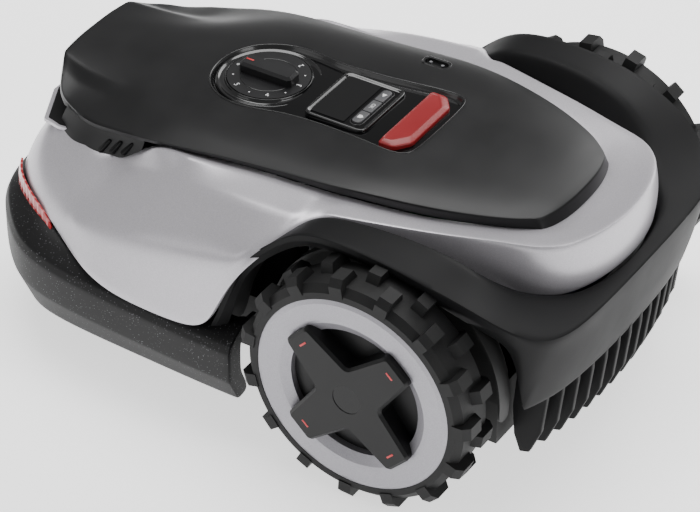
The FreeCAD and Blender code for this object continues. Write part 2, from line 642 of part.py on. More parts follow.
def hood_plan(inset):
    """Right-hand outline of the hood seen from above, closed by its reflection."""
    side = [(44, S.hood_front_y + inset), (88, S.hood_front_y + 36), (110, S.hood_front_y + 66),
            (S.hood_half - 9, S.caster_y + 30), (S.hood_half - 14, S.dial_y), (109, S.axle_y - 68),
            (90, S.axle_y + 20), (58, S.hood_rear_y - 18), (40, S.hood_rear_y - inset)]
    right = [(as_size(x) - inset, y) for x, y in side]
    return right + [(-x, y) for x, y in reversed(right)]


def hood_stations(drop):
    """Half-width, rim height, shoulder and crown height of the hood along its length."""
    crown, seat = S.hood_crown_z - drop, S.seat_z
    rows = [
        (S.hood_front_y, 54, 46, seat - 12, crown - 21),
        (S.hood_front_y + 36, 94, 62, seat - 14, crown - 19),
        (S.hood_front_y + 77, 117, 70, seat - 8, crown - 16),
        (S.caster_y + 30, S.hood_half - 9, 74, seat + 1, crown - 13),
        (S.dial_y, S.hood_half - 14, 74, seat + 6, crown - 8),
        (S.dial_y + 63, S.hood_half - 17, 72, seat + 11, crown - 4),
        (S.axle_y - 68, 110, 68, seat + 17, crown),
        (S.axle_y - 20, 101, 62, seat + 15, crown),
        (S.axle_y + 21, 90, 54, seat + 14, crown - 1),
        (S.hood_rear_y - 37, 74, 46, seat + 12, crown - 4),
        (S.hood_rear_y - 18, 58, 40, seat + 9, crown - 8),
        (S.hood_rear_y, 42, 34, seat + 6, crown - 12),
    ]
    base = seat - 24
    return [(y, mirrored([(as_size(w) - drop, base), (as_size(w) - drop, rim),
                          (0.86 * as_size(w) - drop, rim + 0.55 * (crown_z - rim)), (as_size(shoulder), crown_z)]))
            for y, w, shoulder, rim, crown_z in rows]


def make_hood():
    outer = loft(hood_stations(0))
    inner = loft(hood_stations(S.hood_wall))
    shorter = block(-400, 400, S.hood_front_y + S.hood_wall, S.hood_rear_y - S.hood_wall, 0, 400)
    shape = outer.cut(inner.common(shorter))
    side, rear = shell_stations()
    for stations in (side, rear):
        shape = shape.cut(loft([(y, mirrored([(x, z) for x, z in points])) for y, points in stations]))
    solids = sorted(shape.Solids, key=lambda solid: solid.Volume)
    shape = solids[-1]
    shape = shape.cut(upright(panel_plan(S.gap), S.panel_z - 40, S.panel_z + 40))
    shape = shape.cut(oval(S.rain_radius + S.gap, S.panel_z - 40, 80))
    feature("hood", shape)


# ---- Controls -----------------------------------------------------------------------------------

def panel_plan(grow):
    """Outline of the gloss panel that holds the dial, the display and the stop button."""
    dial, rear = S.dial_y, S.stop_y + S.stop_depth / 2
    side = [(22, dial - S.dial_ring_radius - 5 - grow), (42, dial - 24), (S.dial_ring_radius + 7, dial),
            (S.display_half + 8, S.display_y - S.display_depth / 2), (S.stop_half + 4, S.stop_y - S.stop_depth / 2 - 6),
            (S.stop_half + 7, S.stop_y), (S.stop_half + 2, rear), (30, rear + 8 + grow)]
    right = [(as_size(x) + grow, y) for x, y in side]
    return right + [(-x, y) for x, y in reversed(right)]


def oval(radius, low, height):
    """A rounded slot shape at the rain sensor's place, long along the mower."""
    x, y, half = S.rain_x, S.rain_y, S.rain_half
    ends = [drum(radius, height, x, y + way * half, low) for way in (-1, 1)]
    middle = block(x - radius, x + radius, y - half, y + half, low, as_size(low) + height)
    return ends[0].fuse([ends[1], middle]).removeSplitter()


def make_panel():
    """The panel's face follows the hood, a little below it."""
    low = S.dial_face_z - 8
    face = [(S.dial_y - 60, S.dial_face_z), (S.dial_y + 30, S.dial_face_z + 1), (S.display_y, S.panel_z + 1),
            (S.stop_y + 40, S.panel_z + 4)]
    outline_points = face + [(S.stop_y + 40, low), (S.dial_y - 60, low)]
    corners = [FreeCAD.Vector(-100, float(y), float(z)) for y, z in outline_points]
    side_view = Part.Face(Part.makePolygon(corners + corners[:1])).extrude(FreeCAD.Vector(200, 0, 0))
    shape = side_view.common(upright(panel_plan(as_size(0)), low - 5, low + 30))
    shape = shape.cut(drum(S.dial_ring_radius, 40, 0, S.dial_y, low - 5))
    frame_front, frame_rear = S.display_y - S.display_depth / 2, S.display_y + S.display_depth / 2
    shape = shape.cut(block(-S.display_half, S.display_half, frame_front, frame_rear, low - 5, low + 40))
    shape = shape.cut(block(-S.stop_half - 1, S.stop_half + 1, S.stop_y - S.stop_depth / 2 - 1,
                            S.stop_y + S.stop_depth / 2 + 1, low - 5, low + 40))
    feature("control_panel", shape)


def make_dial():
    face = S.dial_face_z
    ring = cut(rod(S.dial_ring_radius, 9, 0, S.dial_y, face - 7),
               rod(S.dial_radius + S.button_gap, 12, 0, S.dial_y, face - 4))
    bore = rod(S.spindle_radius + 1, 20, 0, S.dial_y, face - 14)
    piece(cut(ring, bore), "dial_ring")
    body = new_body("height_dial")
    plate = circle(sketch_on(body, "XY", y=S.dial_y, offset=face - 3.5), S.dial_radius)
    pad(body, plate, 4)
    grip = sketch_on(body, "XY", y=S.dial_y, offset=face, turn=S.dial_turn)
    reach = S.dial_radius - 10
    outline(grip, [(-reach, -6), (3 - reach, -9), (reach - 3, -9), (reach, -6), (reach, 6), (reach - 3, 9),
                   (3 - reach, 9), (-reach, 6)])
    pad(body, grip, S.dial_top_z - face)
    stem = circle(sketch_on(body, "XY", y=S.dial_y, offset=face - 3.5), S.spindle_radius + 0.5)
    pad(body, stem, 2.5, reverse=True)
    dress(body, "Chamfer", 2.5, lambda edge: all(abs(v.Point.z - float(S.dial_top_z)) < 1e-4 for v in edge.Vertexes))


def make_display():
    half, front, rear = S.display_half, S.display_y - S.display_depth / 2, S.display_y + S.display_depth / 2
    low, top = S.panel_z - 8, S.panel_z + 2
    frame_block = box(-half, half, front, rear, low, top)
    glass_rear = S.key_y - S.key_depth / 2 - 5
    pocket_block = box(6 - half, half - 6, front + 5, glass_rear, top - 2, top + 1)
    slots, keys = [], []
    for number, label in enumerate(("key_start", "key_ok", "key_home"), start=-1):
        x = number * S.key_pitch
        y0, y1 = S.key_y - S.key_depth / 2, S.key_y + S.key_depth / 2
        gap = S.button_gap
        slots.append(box(x - S.key_width / 2 - gap, x + S.key_width / 2 + gap, y0 - gap, y1 + gap, top - 5, top + 1))
        keys.append((label, box(x - S.key_width / 2, x + S.key_width / 2, y0, y1, top - 4, top + 0.8)))
    piece(cut(frame_block, pocket_block, *slots), "display_frame")
    piece(box(6 - half, half - 6, front + 5, glass_rear, top - 2, top - 0.4), "display_window")
    for label, key in keys:
        piece(key, label)


def make_stop_button():
    body = new_body("stop_button")
    half, depth, low = S.stop_half, S.stop_depth / 2, S.panel_z - 6
    plan = sketch_on(body, "XY", y=S.stop_y, offset=low)
    outline(plan, [(-half, -depth + 4), (4 - half, -depth), (half - 4, -depth), (half, -depth + 4),
                   (half - 6, depth - 5), (half - 14, depth), (14 - half, depth), (6 - half, depth - 5)])
    pad(body, plan, S.hood_crown_z - low)
    dress(body, "Chamfer", 2.5, lambda edge: all(abs(v.Point.z - float(S.hood_crown_z)) < 1e-4
                                                 for v in edge.Vertexes))


def make_rain_sensor():
    cup_top = S.panel_z + 1.5
    cup = oval(S.rain_radius, cup_top - 8, 8).cut(oval(S.rain_radius - 1.5, cup_top - 3, 4))
    feature("rain_sensor_cup", cup)
    pins = [rod(1.5, 2.5, S.rain_x, S.rain_y + way * 6, cup_top - 3) for way in (-1, 1)]
    piece(group(*pins), "rain_sensor_pins")


# ---- Nose: camera, visor, vents and reflectors ------------------------------------------------------

def make_nose():
    front, rear, top = S.shelf_front_y + 12, S.shelf_front_y + 76, S.visor_z - 0.5
    housing = box(-62, 62, front, rear, S.shelf_z + 4, top)
    lens_z = S.visor_z - 26
    wells = [rod(10.5, 12, way * 30, front + 12, lens_z, "-Y") for way in (-1, 1)]
    piece(cut(housing, *wells), "camera_housing")
    window = box(-52, 52, front - 3, front, lens_z - 18, lens_z + 18)
    holes = [rod(10.5, 8, way * 30, front + 3, lens_z, "-Y") for way in (-1, 1)]
    piece(cut(window, *holes), "camera_window")
    piece(group(*[rod(10.5, 11, way * 30, front + 6, lens_z, "-Y") for way in (-1, 1)]), "camera_lenses")
    piece(rod(30, 14, 0, S.shelf_front_y + 44, S.visor_z + 5), "satellite_antenna")

    tip, thick = S.visor_half, 5
    plan = [(58, S.hood_front_y - 4), (tip - 4, S.hood_front_y + 16), (tip, S.hood_front_y + 34),
            (tip - 6, S.hood_front_y + 80)]

    def plate(inset, low, high):
        right = [(as_size(x) - inset, y + inset * (1 if n < 2 else 0)) for n, (x, y) in enumerate(plan)]
        return upright(right + [(-x, y) for x, y in reversed(right)], low, high)

    core = plate(as_size(3), S.visor_z, S.visor_z + thick)
    feature("visor", core)
    feature("visor_trim", plate(as_size(0), S.visor_z + 1, S.visor_z + thick - 1).cut(
        plate(as_size(3), S.visor_z, S.visor_z + thick)).cut(
        block(-200, 200, S.hood_front_y + 70, S.hood_front_y + 90, 0, 300)))

    vents = []
    for way in (-1, 1):
        x0, x1 = sorted((way * 106.0, way * 109.0))
        vents_rear = S.caster_y + 28
        wall = block(x0, x1, vents_rear - 66, vents_rear, S.shell_low_z + 44, S.seat_z - 29)
        for slot in range(3):
            middle = vents_rear - 14 - 16 * slot
            wall = wall.cut(block(x0 - 1, x1 + 1, middle - 4, middle + 4, S.shell_low_z + 54, S.seat_z - 36))
        vents.append(wall)
    feature("side_vents", Part.makeCompound(vents))

    feature("side_reflectors", Part.makeCompound([reflector(way, 0) for way in (-1, 1)]))


def reflector(way, grow):
    """A red strip let into the shell's low edge on one side of the nose, or the room for it."""
    run = [(109, S.front_y + 25), (128, S.front_y + 42), (145, S.front_y + 62), (162, S.front_y + 99)]
    inner = [(x - 3, y + 2) for x, y in reversed(run)]
    low, high = S.bumper_top_z + 1 - grow, S.bumper_top_z + 10 + grow
    if not float(grow):
        return upright([(way * x, y) for x, y in run + inner], low, high)
    outer = [(x + 30, y - 20) for x, y in run]
    back = [(x - 3 - grow, y + 2 + grow) for x, y in reversed(run)]
    return upright([(way * x, y) for x, y in outer + back], low, high)


# ---- Rear guard ----------------------------------------------------------------------------------

def fender_view():
    """Side view of the fender: outside path up and over, then back along the wheel arch."""
    y, z = S.axle_y, S.axle_z
    arch = z + S.arch_clearance + S.axle_z
    crest = arch + S.fender_thickness - 3
    outside = [(y - 146, z + 12), (y - 142, z + 48), (y - 132, z + 76), (y - 102, z + 101), (y - 68, crest - 4),
               (y - 32, crest), (y + 15, crest), (y + 62, crest - 6), (y + 100, crest - 20), (y + 126, z + 84),
               (y + 134, z + 50), (y + 134, z - 12)]
    inside = [(y + 126, z - 12), (y + 122, z + 30), (y + 112, z + 58), (y + 94, z + 84), (y + 64, z + 104),
              (y + 34, arch), (y - 32, arch), (y - 62, z + 112), (y - 80, z + 104), (y - 100, z + 90),
              (y - 126, z + 66), (y - 134, z + 43), (y - 138, z + 12)]
    return outside + inside


def rear_reach(x):
    """How far back the guard's face stands at a distance x from the middle."""
    return S.rear_y - 2 - x * x * 0.0008


def make_rear_guard():
    wall, low = S.guard_wall, S.guard_low_z
    points = [(150, S.rear_y - 34), (147, S.rear_y - 22), (128, S.rear_y - 11), (80, S.rear_y - 4), (0, S.rear_y)]

    def plan(inset):
        right = [(as_size(x) - inset if x else x, y - inset) for x, y in points]
        right[0] = (right[0][0], points[0][1])
        return right + [(-x, y) for x, y in reversed(right[:-1])]

    face = upright(plan(as_size(0)), low, S.band_low_z - 1).cut(upright(plan(wall), low - 1, S.band_low_z))
    deck = block(-S.guard_half - 20, S.guard_half + 20, S.tub_rear_y + S.gap, S.rear_y - 24, low, low + wall)
    shapes = [face.fuse(deck.common(upright(plan(as_size(1)), low - 5, low + 20).fuse(
        block(-S.guard_half, S.guard_half, S.tub_rear_y, S.rear_y - 30, low - 5, low + 20))))]
    for number in range(int(float(S.fin_count))):
        x = (number - (float(S.fin_count) - 1) / 2) * S.fin_pitch
        back = rear_reach(x)
        side_view = [(back - 2, low + 3), (back - 5, low - 42), (back - 18, S.fin_low_z + 2), (back - 27, S.fin_low_z),
                     (back - 32, S.fin_low_z + 20), (back - 32, low + 3)]
        corners = [FreeCAD.Vector(float(x - S.fin_thickness / 2), float(y), float(z)) for y, z in side_view]
        fin = Part.Face(Part.makePolygon(corners + corners[:1]))
        shapes.append(fin.extrude(FreeCAD.Vector(float(S.fin_thickness), 0, 0)))
    for way in (-1, 1):
        x0, x1 = sorted((float(way * S.fender_inner_x), float(way * S.fender_half)))
        corners = [FreeCAD.Vector(x0, float(y), float(z)) for y, z in fender_view()]
        arch = Part.Face(Part.makePolygon(corners + corners[:1])).extrude(FreeCAD.Vector(x1 - x0, 0, 0))
        shapes.append(arch)
    guard = shapes[0].fuse(shapes[1:]).removeSplitter()
    side, rear = shell_stations()
    for stations in (side, rear):
        guard = guard.cut(loft([(y, mirrored(points)) for y, points in stations]))
    feature("rear_guard", guard)


# ---- Build ---------------------------------------------------------------------------------------

for side_name, side_sign in SIDES:
    make_wheel(side_name, side_sign)
    make_caster(side_name, side_sign)
make_chassis()
make_power_and_board()
make_cutting_system()
make_bumper()
make_body_shell()
make_hood()
make_panel()
make_dial()
make_display()
make_stop_button()
make_rain_sensor()
make_nose()
make_rear_guard()

doc.recompute()
faults = [thing.Name for thing in doc.Objects if {"Invalid", "Error"} & set(thing.State)]
faults += [thing.Label for thing in PIECES if thing.Shape.isNull() or not thing.Shape.isValid()]
if faults:
    raise SystemExit("failed: " + ", ".join(faults))
os.makedirs("parts", exist_ok=True)
for thing in PIECES:
    thing.Shape.exportStep(f"parts/{thing.Label}.step")
print(len(PIECES), "pieces written")
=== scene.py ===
import json
import math

import bpy
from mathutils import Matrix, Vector


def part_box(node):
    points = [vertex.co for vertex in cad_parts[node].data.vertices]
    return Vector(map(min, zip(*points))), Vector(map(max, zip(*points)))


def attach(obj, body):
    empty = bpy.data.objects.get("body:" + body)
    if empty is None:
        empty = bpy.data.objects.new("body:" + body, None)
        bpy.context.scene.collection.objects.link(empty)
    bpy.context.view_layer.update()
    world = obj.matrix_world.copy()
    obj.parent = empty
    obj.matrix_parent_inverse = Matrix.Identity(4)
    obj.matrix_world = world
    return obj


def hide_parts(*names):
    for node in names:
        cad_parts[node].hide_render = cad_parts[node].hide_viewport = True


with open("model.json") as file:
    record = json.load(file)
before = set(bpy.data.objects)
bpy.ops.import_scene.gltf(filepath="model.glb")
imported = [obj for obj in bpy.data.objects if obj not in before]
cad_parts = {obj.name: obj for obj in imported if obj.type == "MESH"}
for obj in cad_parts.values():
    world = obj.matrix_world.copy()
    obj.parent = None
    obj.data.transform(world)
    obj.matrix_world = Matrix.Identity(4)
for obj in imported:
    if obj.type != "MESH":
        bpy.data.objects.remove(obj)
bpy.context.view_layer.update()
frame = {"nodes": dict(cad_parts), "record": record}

NODES = frame["nodes"]
MM = 0.001
LEFT_AND_RIGHT = (("left", 1), ("right", -1))
AXLE_Y, AXLE_Z = 142.0, 112.0  # the drive wheels' axis, in millimetres


# ---- Workshop helpers ----------------------------------------------------------------------------

def pick(obj):
    """Selects one object alone and makes it the active one."""
    if bpy.context.object and bpy.context.object.mode != "OBJECT":
        bpy.ops.object.mode_set(mode="OBJECT")
    bpy.ops.object.select_all(action="DESELECT")
    obj.select_set(True)
    bpy.context.view_layer.objects.active = obj
    return obj


def named(name):
    """Names the piece that an add operator has just made."""
    obj = bpy.context.object
    obj.name = name
    obj.data.name = name
    return obj


def settle(obj):
    """Puts the piece's place into its mesh, so that its object sits at the origin."""
    pick(obj)
    bpy.ops.object.transform_apply(location=True, rotation=True, scale=True)
    return obj


def work(obj, kind, **settings):
    """Adds one modifier and applies it."""
    pick(obj)
    made = obj.modifiers.new(kind.title(), kind)
    for key, value in settings.items():
        setattr(made, key, value)
    bpy.ops.object.modifier_apply(modifier=made.name)
    return obj


def subdivide(obj, levels):
    return work(obj, "SUBSURF", levels=levels, render_levels=levels)


def thicken(obj, wall, offset=-1, even=False):
    """Gives a sheet a wall in millimetres, inwards unless the offset is 1."""
    return work(obj, "SOLIDIFY", thickness=wall * MM, offset=offset, use_even_offset=even)


def round_edges(obj, width, degrees, segments=2):
    """Rounds the edges sharper than an angle, by a width in millimetres."""
    return work(obj, "BEVEL", width=width * MM, segments=segments, limit_method="ANGLE",
                angle_limit=math.radians(degrees))


def smooth(obj, degrees=35):
    pick(obj)
    bpy.ops.object.shade_smooth_by_angle(angle=math.radians(degrees))
    return obj


def edit_all(obj, *steps):
    """Runs edit-mode operators on a whole mesh, each given with its settings."""
    pick(obj)
    bpy.ops.object.mode_set(mode="EDIT")
    bpy.ops.mesh.select_all(action="SELECT")
    for operator, settings in steps:
        operator(**settings)
    bpy.ops.object.mode_set(mode="OBJECT")
    return obj


def flipped(obj):
    return edit_all(obj, (bpy.ops.mesh.flip_normals, {}))


def outward(obj):
    """Merges doubles and turns every face outwards."""
    return edit_all(obj, (bpy.ops.mesh.remove_doubles, {"threshold": 0.00002}),
                    (bpy.ops.mesh.normals_make_consistent, {"inside": False}))


def sheet_of(name, rows, creases=(), ring=False):
    """A grid laid over measured rows of (x, y, z) points in millimetres.
    A crease is (along, index, first, last, sharpness); along is 'row' or 'column'. ring closes each row on itself."""
    wide, long = len(rows[0]), len(rows)
    bpy.ops.mesh.primitive_grid_add(x_subdivisions=wide - 1, y_subdivisions=long - 1, size=1)
    obj = named(name)
    settle(obj)
    mesh = obj.data
    order = sorted(range(len(mesh.vertices)), key=lambda n: (round(mesh.vertices[n].co.y, 4), mesh.vertices[n].co.x))
    place_of = {}
    for number, vertex in enumerate(order):
        row, column = divmod(number, wide)
        mesh.vertices[vertex].co = Vector(rows[row][column]) * MM
        place_of[vertex] = (row, column)
    sharp = mesh.attributes.new("crease_edge", "FLOAT", "EDGE")
    for edge in mesh.edges:
        (r0, c0), (r1, c1) = (place_of[v] for v in edge.vertices)
        for along, index, first, last, value in creases:
            if along == "row" and r0 == r1 == index and first <= min(c0, c1) and max(c0, c1) <= last:
                sharp.data[edge.index].value = value
            if along == "column" and c0 == c1 == index and first <= min(r0, r1) and max(r0, r1) <= last:
                sharp.data[edge.index].value = value
    mesh.update()
    if ring:
        edit_all(obj, (bpy.ops.mesh.remove_doubles, {"threshold": 0.00005}))
    return obj


def close_top(obj):
    """Fills the highest open edge loop of a sheet with one face."""
    used = {}
    for face in obj.data.polygons:
        for key in face.edge_keys:
            used[key] = used.get(key, 0) + 1
    heights = {edge.index: sum(obj.data.vertices[v].co.z for v in edge.vertices) / 2
               for edge in obj.data.edges if used[edge.key] == 1}
    top = max(heights.values())
    pick(obj)
    bpy.ops.object.mode_set(mode="EDIT")
    bpy.ops.mesh.select_mode(type="EDGE")
    bpy.ops.mesh.select_all(action="DESELECT")
    bpy.ops.object.mode_set(mode="OBJECT")
    for index, height in heights.items():
        obj.data.edges[index].select = height > top - 0.0001
    bpy.ops.object.mode_set(mode="EDIT")
    bpy.ops.mesh.edge_face_add()
    bpy.ops.mesh.select_mode(type="VERT")
    bpy.ops.object.mode_set(mode="OBJECT")
    return obj


def face_to(obj, direction):
    """Flips the sheet if most of its faces look against a direction."""
    along = sum((p.normal.dot(Vector(direction)) * p.area for p in obj.data.polygons))
    return flipped(obj) if along < 0 else obj


def both_sides(obj):
    """Mirrors a right-hand sheet across the middle plane and welds it there."""
    return work(obj, "MIRROR", use_axis=(True, False, False), use_clip=True, merge_threshold=0.0002)


def mirrored_copy(obj, name):
    """The same piece on the other side, as its own mesh."""
    pick(obj)
    bpy.ops.object.duplicate()
    twin = named(name)
    twin.scale.x = -1
    return flipped(settle(twin))


def extruded(name, points, along):
    """A closed solid made by extruding one flat face through `along`, all in millimetres."""
    bpy.ops.mesh.primitive_circle_add(vertices=len(points), radius=1, fill_type="NGON")
    obj = named(name)
    settle(obj)
    for vertex, point in zip(obj.data.vertices, points):
        vertex.co = Vector(point) * MM
    run = {"value": [step * MM for step in along]}
    return outward(edit_all(obj, (bpy.ops.mesh.extrude_region_move, {"TRANSFORM_OT_translate": run})))


def prism(name, outline, low, high):
    """A closed upright prism on a plan outline of (x, y) corners."""
    return extruded(name, [(x, y, low) for x, y in outline], (0, 0, high - low))


def carve(obj, cutter):
    """Takes the cutter's shape out of a piece, then removes the cutter."""
    work(obj, "BOOLEAN", operation="DIFFERENCE", solver="EXACT", object=cutter)
    bpy.data.objects.remove(cutter)
    return obj


def bar(name, size, centre, edge, steps=2):
    """A small block with rounded edges, in millimetres."""
    bpy.ops.mesh.primitive_cube_add(size=1, location=[c * MM for c in centre])
    obj = named(name)
    obj.scale = [s * MM for s in size]
    settle(obj)
    round_edges(obj, edge, 30, steps)
    return smooth(obj)


def round_outline(corners, steps=6):
    """A plan outline with each corner (x, y, radius) drawn as an arc."""
    points, total = [], len(corners)
    for n in range(total):
        before, here, after = (Vector(corners[(n + k) % total][:2]) for k in (-1, 0, 1))
        radius = corners[n][2]
        to_before, to_after = (before - here).normalized(), (after - here).normalized()
        half = to_before.angle(to_after) / 2
        reach = min(radius / math.tan(half), 0.49 * (before - here).length, 0.49 * (after - here).length)
        start, end = here + to_before * reach, here + to_after * reach
        for step in range(steps + 1):
            t = step / steps
            point = (1 - t) ** 2 * start + 2 * t * (1 - t) * here + t * t * end
            points.append((point.x, point.y))
    return points


# ---- Materials -----------------------------------------------------------------------------------
# Object coordinates are in metres, so a texture's scale is the number of features in a metre.

PLASTIC_IOR = 1.5
FLOW_MM = 60.0              # drift of a moulding's colour
FLAKE_MM = 0.5              # aluminium flakes
FLECK_CELL_MM = 1.3         # one bumper fleck at most in each cell
RUBBER_GRAIN_MM = 0.9
MIST_PER_METRE = 9.0        # slow drift of the silver's clear coat
CLOUD_PER_METRE = 14.0      # slow drift of the bumper's tone
RUBS_PER_METRE = 45.0       # polishing marks on gloss
TOOTH_PER_METRE = 300.0     # tooth of the paper floor
LINE_RUN, LINE_SQUEEZE = 10.0, 18.0  # a machined line's length in its own sizes, and how flat it is pressed
PRISM_SCALE = 39.79         # a wave texture repeats every tau / 20 / scale metres: rows 7.9 mm apart
PRISM_SLANT = (0.0, math.radians(38), math.radians(35))


def per_metre(size):
    """Texture scale for features `size` millimetres wide."""
    return 1000 / size


def linear(hexadecimal):
    """An sRGB hex colour as linear light."""
    channels = [int(hexadecimal[n:n + 2], 16) / 255 for n in (1, 3, 5)]
    return [c / 12.92 if c <= 0.04045 else ((c + 0.055) / 1.055) ** 2.4 for c in channels] + [1.0]


def add(tree, kind, links=None, **settings):
    """Adds a node with its settings; links gives sockets a value or another node's output."""
    made = tree.nodes.new("ShaderNode" + kind)
    for key, value in settings.items():
        setattr(made, key, value)
    for socket, value in (links or {}).items():
        if isinstance(value, bpy.types.NodeSocket):
            tree.links.new(value, made.inputs[socket])
        else:
            made.inputs[socket].default_value = value
    return made


def new_finish(name):
    finish = bpy.data.materials.new(name)
    finish.use_nodes = True
    tree = finish.node_tree
    shader = tree.nodes["Principled BSDF"]
    place = add(tree, "TexCoord").outputs["Object"]
    return finish, tree, shader, place


def plug(tree, shader, **sockets):
    for socket, value in sockets.items():
        socket = socket.replace("_", " ").title().replace("Ior", "IOR")
        if isinstance(value, bpy.types.NodeSocket):
            tree.links.new(value, shader.inputs[socket])
        else:
            shader.inputs[socket].default_value = value


def moulded(name, colour, paler, roughness, grain, depth, specular=0.5):
    """Injection-moulded plastic or rubber: an even colour that drifts a little with the flow of the melt,
    and an eroded grain of `grain` millimetres that softens the highlight."""
    finish, tree, shader, place = new_finish(name)
    drift = add(tree, "TexNoise", {"Vector": place, "Scale": per_metre(FLOW_MM), "Detail": 3.0, "Roughness": 0.55})
    speck = add(tree, "TexNoise", {"Vector": place, "Scale": per_metre(grain), "Detail": 2.0})
    tone = add(tree, "ValToRGB", {"Fac": drift.outputs["Fac"]})
    tone.color_ramp.elements[0].color, tone.color_ramp.elements[1].color = linear(colour), linear(paler)
    tone.color_ramp.elements[0].position, tone.color_ramp.elements[1].position = 0.35, 0.7
    flecked = add(tree, "MixRGB", {"Fac": 0.35, "Color1": tone.outputs["Color"], "Color2": speck.outputs["Color"]},
                  blend_type="SOFT_LIGHT")
    worn = add(tree, "MapRange", {"Value": drift.outputs["Fac"], "From Min": 0.3, "From Max": 0.7,
                                  "To Min": roughness - 0.04, "To Max": roughness + 0.05})
    bump = add(tree, "Bump", {"Height": speck.outputs["Fac"], "Strength": 0.35, "Distance": depth * MM})
    plug(tree, shader, base_color=flecked.outputs["Color"], roughness=worn.outputs["Result"],
         normal=bump.outputs["Normal"])
    shader.inputs["IOR"].default_value = PLASTIC_IOR
    shader.inputs["Specular IOR Level"].default_value = specular
    return finish


def flake_paint(name, colour, darker, roughness):
    """Silver basecoat on ABS under a satin clear: aluminium flakes of about half a millimetre, drawn coarse
    enough to show, that tilt the light by a hair, and a soft clear coat above them."""
    finish, tree, shader, place = new_finish(name)
    flakes = add(tree, "TexVoronoi", {"Vector": place, "Scale": per_metre(FLAKE_MM)})
    mist = add(tree, "TexNoise", {"Vector": place, "Scale": MIST_PER_METRE, "Detail": 2.0})
    tone = add(tree, "MapRange", {"Value": flakes.outputs["Color"], "To Min": 0.0, "To Max": 1.0})
    colours = add(tree, "MixRGB", {"Fac": tone.outputs["Result"], "Color1": linear(colour), "Color2": linear(darker)})
    drift = add(tree, "MapRange", {"Value": mist.outputs["Fac"], "From Min": 0.3, "From Max": 0.7,
                                   "To Min": roughness - 0.03, "To Max": roughness + 0.04})
    bump = add(tree, "Bump", {"Height": tone.outputs["Result"], "Strength": 0.06, "Distance": 0.05 * MM})
    plug(tree, shader, base_color=colours.outputs["Color"], roughness=drift.outputs["Result"],
         normal=bump.outputs["Normal"])
    shader.inputs["Metallic"].default_value = 0.45
    shader.inputs["Coat Weight"].default_value = 0.25
    shader.inputs["Coat Roughness"].default_value = 0.28
    return finish


def speckled(name, colour, paler, fleck, roughness):
    """Moulded bumper rubber with a scatter of pale mineral flecks, drawn about 0.7 mm wide, coarse enough
    to show: most of the ground stays dark and only a few flecks catch the light."""
    finish, tree, shader, place = new_finish(name)
    grains = add(tree, "TexVoronoi", {"Vector": place, "Scale": per_metre(FLECK_CELL_MM)})
    pick_few = add(tree, "MapRange", {"Value": grains.outputs["Color"], "From Min": 0.72, "From Max": 0.9})
    small = add(tree, "MapRange", {"Value": grains.outputs["Distance"], "From Min": 0.42, "From Max": 0.24})
    fleck_here = add(tree, "Math", {0: pick_few.outputs["Result"], 1: small.outputs["Result"]}, operation="MULTIPLY")
    cloud = add(tree, "TexNoise", {"Vector": place, "Scale": CLOUD_PER_METRE, "Detail": 3.0})
    ground = add(tree, "MixRGB", {"Fac": cloud.outputs["Fac"], "Color1": linear(colour), "Color2": linear(paler)})
    tone = add(tree, "MixRGB", {"Fac": fleck_here.outputs["Value"], "Color1": ground.outputs["Color"],
                                "Color2": linear(fleck)})
    grain = add(tree, "TexNoise", {"Vector": place, "Scale": per_metre(RUBBER_GRAIN_MM), "Detail": 2.0})
    worn = add(tree, "MapRange", {"Value": cloud.outputs["Fac"], "To Min": roughness - 0.06,
                                  "To Max": roughness + 0.06})
    bump = add(tree, "Bump", {"Height": grain.outputs["Fac"], "Strength": 0.4, "Distance": 0.12 * MM})
    plug(tree, shader, base_color=tone.outputs["Color"], roughness=worn.outputs["Result"],
         normal=bump.outputs["Normal"])
    shader.inputs["Specular IOR Level"].default_value = 0.25
    return finish


def gloss(name, colour, paler, roughness=0.06, coat=0.1, specular=0.2):
    """Piano-gloss ABS or polycarbonate: deep colour, a hard clear face with faint rub marks in the polish."""
    finish, tree, shader, place = new_finish(name)
    rub = add(tree, "TexNoise", {"Vector": place, "Scale": RUBS_PER_METRE, "Detail": 5.0, "Distortion": 0.6})
    tone = add(tree, "MixRGB", {"Fac": rub.outputs["Fac"], "Color1": linear(colour), "Color2": linear(paler)})
    worn = add(tree, "MapRange", {"Value": rub.outputs["Fac"], "From Min": 0.35, "From Max": 0.75,
                                  "To Min": roughness, "To Max": roughness + 0.06})
    plug(tree, shader, base_color=tone.outputs["Color"], roughness=worn.outputs["Result"])
    shader.inputs["Specular IOR Level"].default_value = specular
    shader.inputs["Coat Weight"].default_value = coat
    shader.inputs["Coat Roughness"].default_value = 0.04
    return finish


def machined(name, colour, darker, roughness, line=0.6):
    """Turned or rolled metal: fine lines along the way it was worked, a little darker where it is duller."""
    finish, tree, shader, place = new_finish(name)
    turned = add(tree, "Mapping", {"Vector": place, "Scale": (1.0, 1.0, LINE_SQUEEZE)})
    lines = add(tree, "TexNoise", {"Vector": turned.outputs["Vector"], "Scale": per_metre(line * LINE_RUN),
                                  "Detail": 4.0})
    tone = add(tree, "MixRGB", {"Fac": lines.outputs["Fac"], "Color1": linear(colour), "Color2": linear(darker)})
    worn = add(tree, "MapRange", {"Value": lines.outputs["Fac"], "To Min": roughness - 0.08,
                                  "To Max": roughness + 0.1})
    bump = add(tree, "Bump", {"Height": lines.outputs["Fac"], "Strength": 0.15, "Distance": 0.05 * MM})
    plug(tree, shader, base_color=tone.outputs["Color"], roughness=worn.outputs["Result"],
         normal=bump.outputs["Normal"])
    shader.inputs["Metallic"].default_value = 1.0
    return finish


